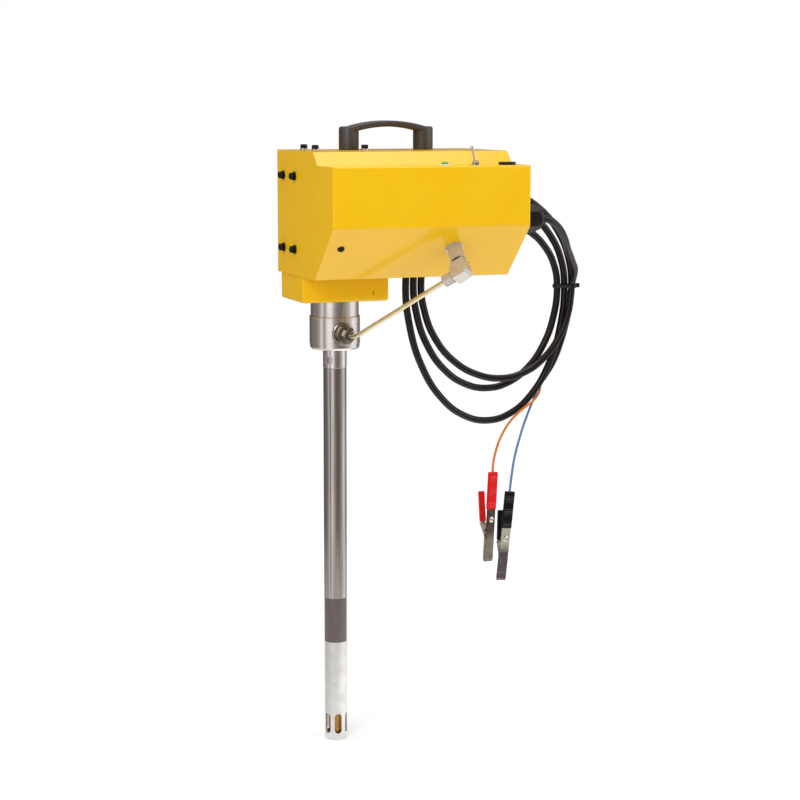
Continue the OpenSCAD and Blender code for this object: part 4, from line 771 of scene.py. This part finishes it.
def paper_floor():
    """The floor's material, with one look for the camera and one for reflections."""
    material = bpy.data.materials.new("white_paper_floor")
    material.use_nodes = True
    tree = material.node_tree
    tree.nodes.clear()
    paper = add(tree, "ShaderNodeBsdfDiffuse", {"Color": linear("#F6F6F6")}).outputs[0]
    spot = add(tree, "ShaderNodeTexCoord").outputs["Object"]
    far = add(tree, "ShaderNodeVectorMath", {0: spot}, operation="LENGTH").outputs["Value"]
    strength = add(tree, "ShaderNodeMapRange", {
        "Value": far, "From Max": GLOW_REACH, "To Min": GLOW_NEAR, "To Max": GLOW_FAR})
    glow = add(tree, "ShaderNodeEmission", {
        "Color": linear("#FFFFFF"), "Strength": strength.outputs[0]})
    glowing = add(tree, "ShaderNodeAddShader", {0: paper, 1: glow.outputs[0]})
    from_patch = add(tree, "ShaderNodeVectorMath", {0: spot, 1: PATCH_AT}, operation="DISTANCE")
    patch = add(tree, "ShaderNodeMapRange", {
        "Value": from_patch.outputs["Value"], "From Min": PATCH_FULL, "From Max": PATCH_END,
        "To Min": PATCH_GLOW, "To Max": 0.0})
    shine = add(tree, "ShaderNodeEmission", {
        "Color": linear("#FFFFFF"), "Strength": patch.outputs[0]})
    lit_paper = add(tree, "ShaderNodeAddShader", {0: paper, 1: shine.outputs[0]})
    beyond = add(tree, "ShaderNodeMapRange", {
        "Value": far, "From Min": CLEAR_FROM, "From Max": CLEAR_FULL})
    clear = add(tree, "ShaderNodeBsdfTransparent")
    mirrored = add(tree, "ShaderNodeMixShader", {
        0: beyond.outputs[0], 1: lit_paper.outputs[0], 2: clear.outputs[0]})
    ray_kind = add(tree, "ShaderNodeLightPath").outputs
    unseen = add(tree, "ShaderNodeMixShader", {
        0: ray_kind["Is Glossy Ray"], 1: paper, 2: mirrored.outputs[0]})
    whole = add(tree, "ShaderNodeMixShader", {
        0: ray_kind["Is Camera Ray"], 1: unseen.outputs[0], 2: glowing.outputs[0]})
    add(tree, "ShaderNodeOutputMaterial", {"Surface": whole.outputs[0]})
    return material


corners = [(x * FLOOR_HALF, y * FLOOR_HALF, FLOOR_Z)
           for x, y in ((-1, -1), (1, -1), (1, 1), (-1, 1))]
floor_mesh = bpy.data.meshes.new("floor")
floor_mesh.from_pydata(corners, [], [(0, 1, 2, 3)])
floor_mesh.materials.append(paper_floor())
floor = bpy.data.objects.new("floor", floor_mesh)
bpy.context.scene.collection.objects.link(floor)
print("floor at z in mm:", round(FLOOR_Z / MM, 1))

# %% [markdown]
# ## Room
# Bare metal looks like what it mirrors. So the room has a pale ceiling and walls that are
# dark or bright by their bearing, which polished pieces show as upright bands. Light of one
# even level falls on everything else, and the camera sees plain white.

# %% Walls by their bearing
# Pairs of a bearing in degrees, round from -X, and how bright the wall is there.
WALLS = [
    (-180, 0.6), (-175, 0.8), (-168, 0.85), (-162, 0.4), (-156, 0.3), (-151, 0.5), (-145, 0.95),
    (-125, 1.05), (-117, 0.6), (-108, 0.36), (-99, 0.26), (-88, 0.2), (-72, 0.18), (-58, 0.3),
    (-46, 0.45), (-34, 0.55), (-24, 1.0), (-4, 1.0), (10, 0.7), (24, 0.35), (75, 0.22),
    (112, 0.12), (134, 0.24), (150, 0.22), (163, 0.28), (173, 0.4)]
WARM_GREEN, WARM_BLUE = 0.14, 0.22
CEILING, CEILING_FROM, CEILING_FULL = 0.8, 0.45, 0.7
MIRRORED_STRENGTH, EVEN_LIGHT = 1.15, 0.62


def wall(level):
    """The linear colour of a wall, the warmer the darker it is."""
    warm = 1 - level
    return level, level * (1 - WARM_GREEN * warm), level * (1 - WARM_BLUE * warm), 1


def wall_share(degrees):
    """A bearing as a share of the full circle, from 0 to 1."""
    return (degrees + 180) / 360


# %% World
def studio():
    """The world, with walls for reflections, an even light and a white ground."""
    world = bpy.data.worlds.new("studio")
    world.use_nodes = True
    tree = world.node_tree
    tree.nodes.clear()
    ray = add(tree, "ShaderNodeTexCoord").outputs["Generated"]
    east, north, rise = add(tree, "ShaderNodeSeparateXYZ", {0: ray}).outputs
    bearing = add(tree, "ShaderNodeMath", {0: north, 1: east}, operation="ARCTAN2")
    round_room = add(tree, "ShaderNodeMapRange", {
        "Value": bearing.outputs[0], "From Min": -math.pi, "From Max": math.pi})
    walls = add(tree, "ShaderNodeValToRGB", {0: round_room.outputs[0]})
    stops = walls.color_ramp.elements
    stops.remove(stops[1])
    stops[0].color = wall(WALLS[0][1])
    for degrees, level in WALLS[1:]:
        stops.new(wall_share(degrees)).color = wall(level)
    height = add(tree, "ShaderNodeMapRange", {
        "Value": rise, "From Min": CEILING_FROM, "From Max": CEILING_FULL})
    room = add(tree, "ShaderNodeMix", {
        "Factor": height.outputs[0], COLOUR_A: walls.outputs[0],
        COLOUR_B: (CEILING, CEILING, CEILING, 1)}, data_type="RGBA")
    ray_kind = add(tree, "ShaderNodeLightPath").outputs
    plain = add(tree, "ShaderNodeMath", {
        0: ray_kind["Is Camera Ray"], 1: ray_kind["Is Transmission Ray"]}, operation="MAXIMUM")
    strength = add(tree, "ShaderNodeMapRange", {
        "Value": plain.outputs[0], "To Min": EVEN_LIGHT, "To Max": 1.0})
    even = add(tree, "ShaderNodeBackground", {
        "Color": linear("#FFFFFF"), "Strength": strength.outputs[0]})
    mirrored = add(tree, "ShaderNodeBackground", {
        "Color": room.outputs[MIXED], "Strength": MIRRORED_STRENGTH})
    shown = add(tree, "ShaderNodeMixShader", {
        0: ray_kind["Is Glossy Ray"], 1: even.outputs[0], 2: mirrored.outputs[0]})
    add(tree, "ShaderNodeOutputWorld", {"Surface": shown.outputs[0]})
    return world


bpy.context.scene.world = studio()
print("walls:", len(WALLS))

# %% [markdown]
# ## Lamps
# Three large soft lamps model the shape: the key from the front left, a weak fill from the
# front right and one from above. Their size keeps the shadows soft, and their power keeps the
# enamel at the colour it was given.

# %% Lamps
def soft_lamp(name, at, towards, size, power):
    """A rectangular lamp that looks at a point; its size in metres and its power in watts."""
    lamp = bpy.data.lights.new(name, "AREA")
    lamp.shape = "RECTANGLE"
    lamp.size, lamp.size_y = size
    lamp.energy = power
    obj = bpy.data.objects.new(name, lamp)
    obj.location = at
    obj.rotation_euler = (Vector(towards) - Vector(at)).to_track_quat("-Z", "Y").to_euler()
    bpy.context.scene.collection.objects.link(obj)


soft_lamp("key_lamp", at=(-1.7, -1.9, 1.5), towards=(0.07, -0.05, 0.1), size=(1.4, 1.4), power=27)
soft_lamp("fill_lamp", at=(2.0, -1.6, 0.9), towards=(0.07, -0.05, 0.0), size=(1.2, 1.6), power=13)
soft_lamp("top_lamp", at=(0.0, 0.1, 2.2), towards=(0.05, 0.0, 0.2), size=(1.8, 1.2), power=18)
bpy.context.scene.view_settings.view_transform = "Standard"
print("lamps:", [lamp.name for lamp in bpy.data.lights])
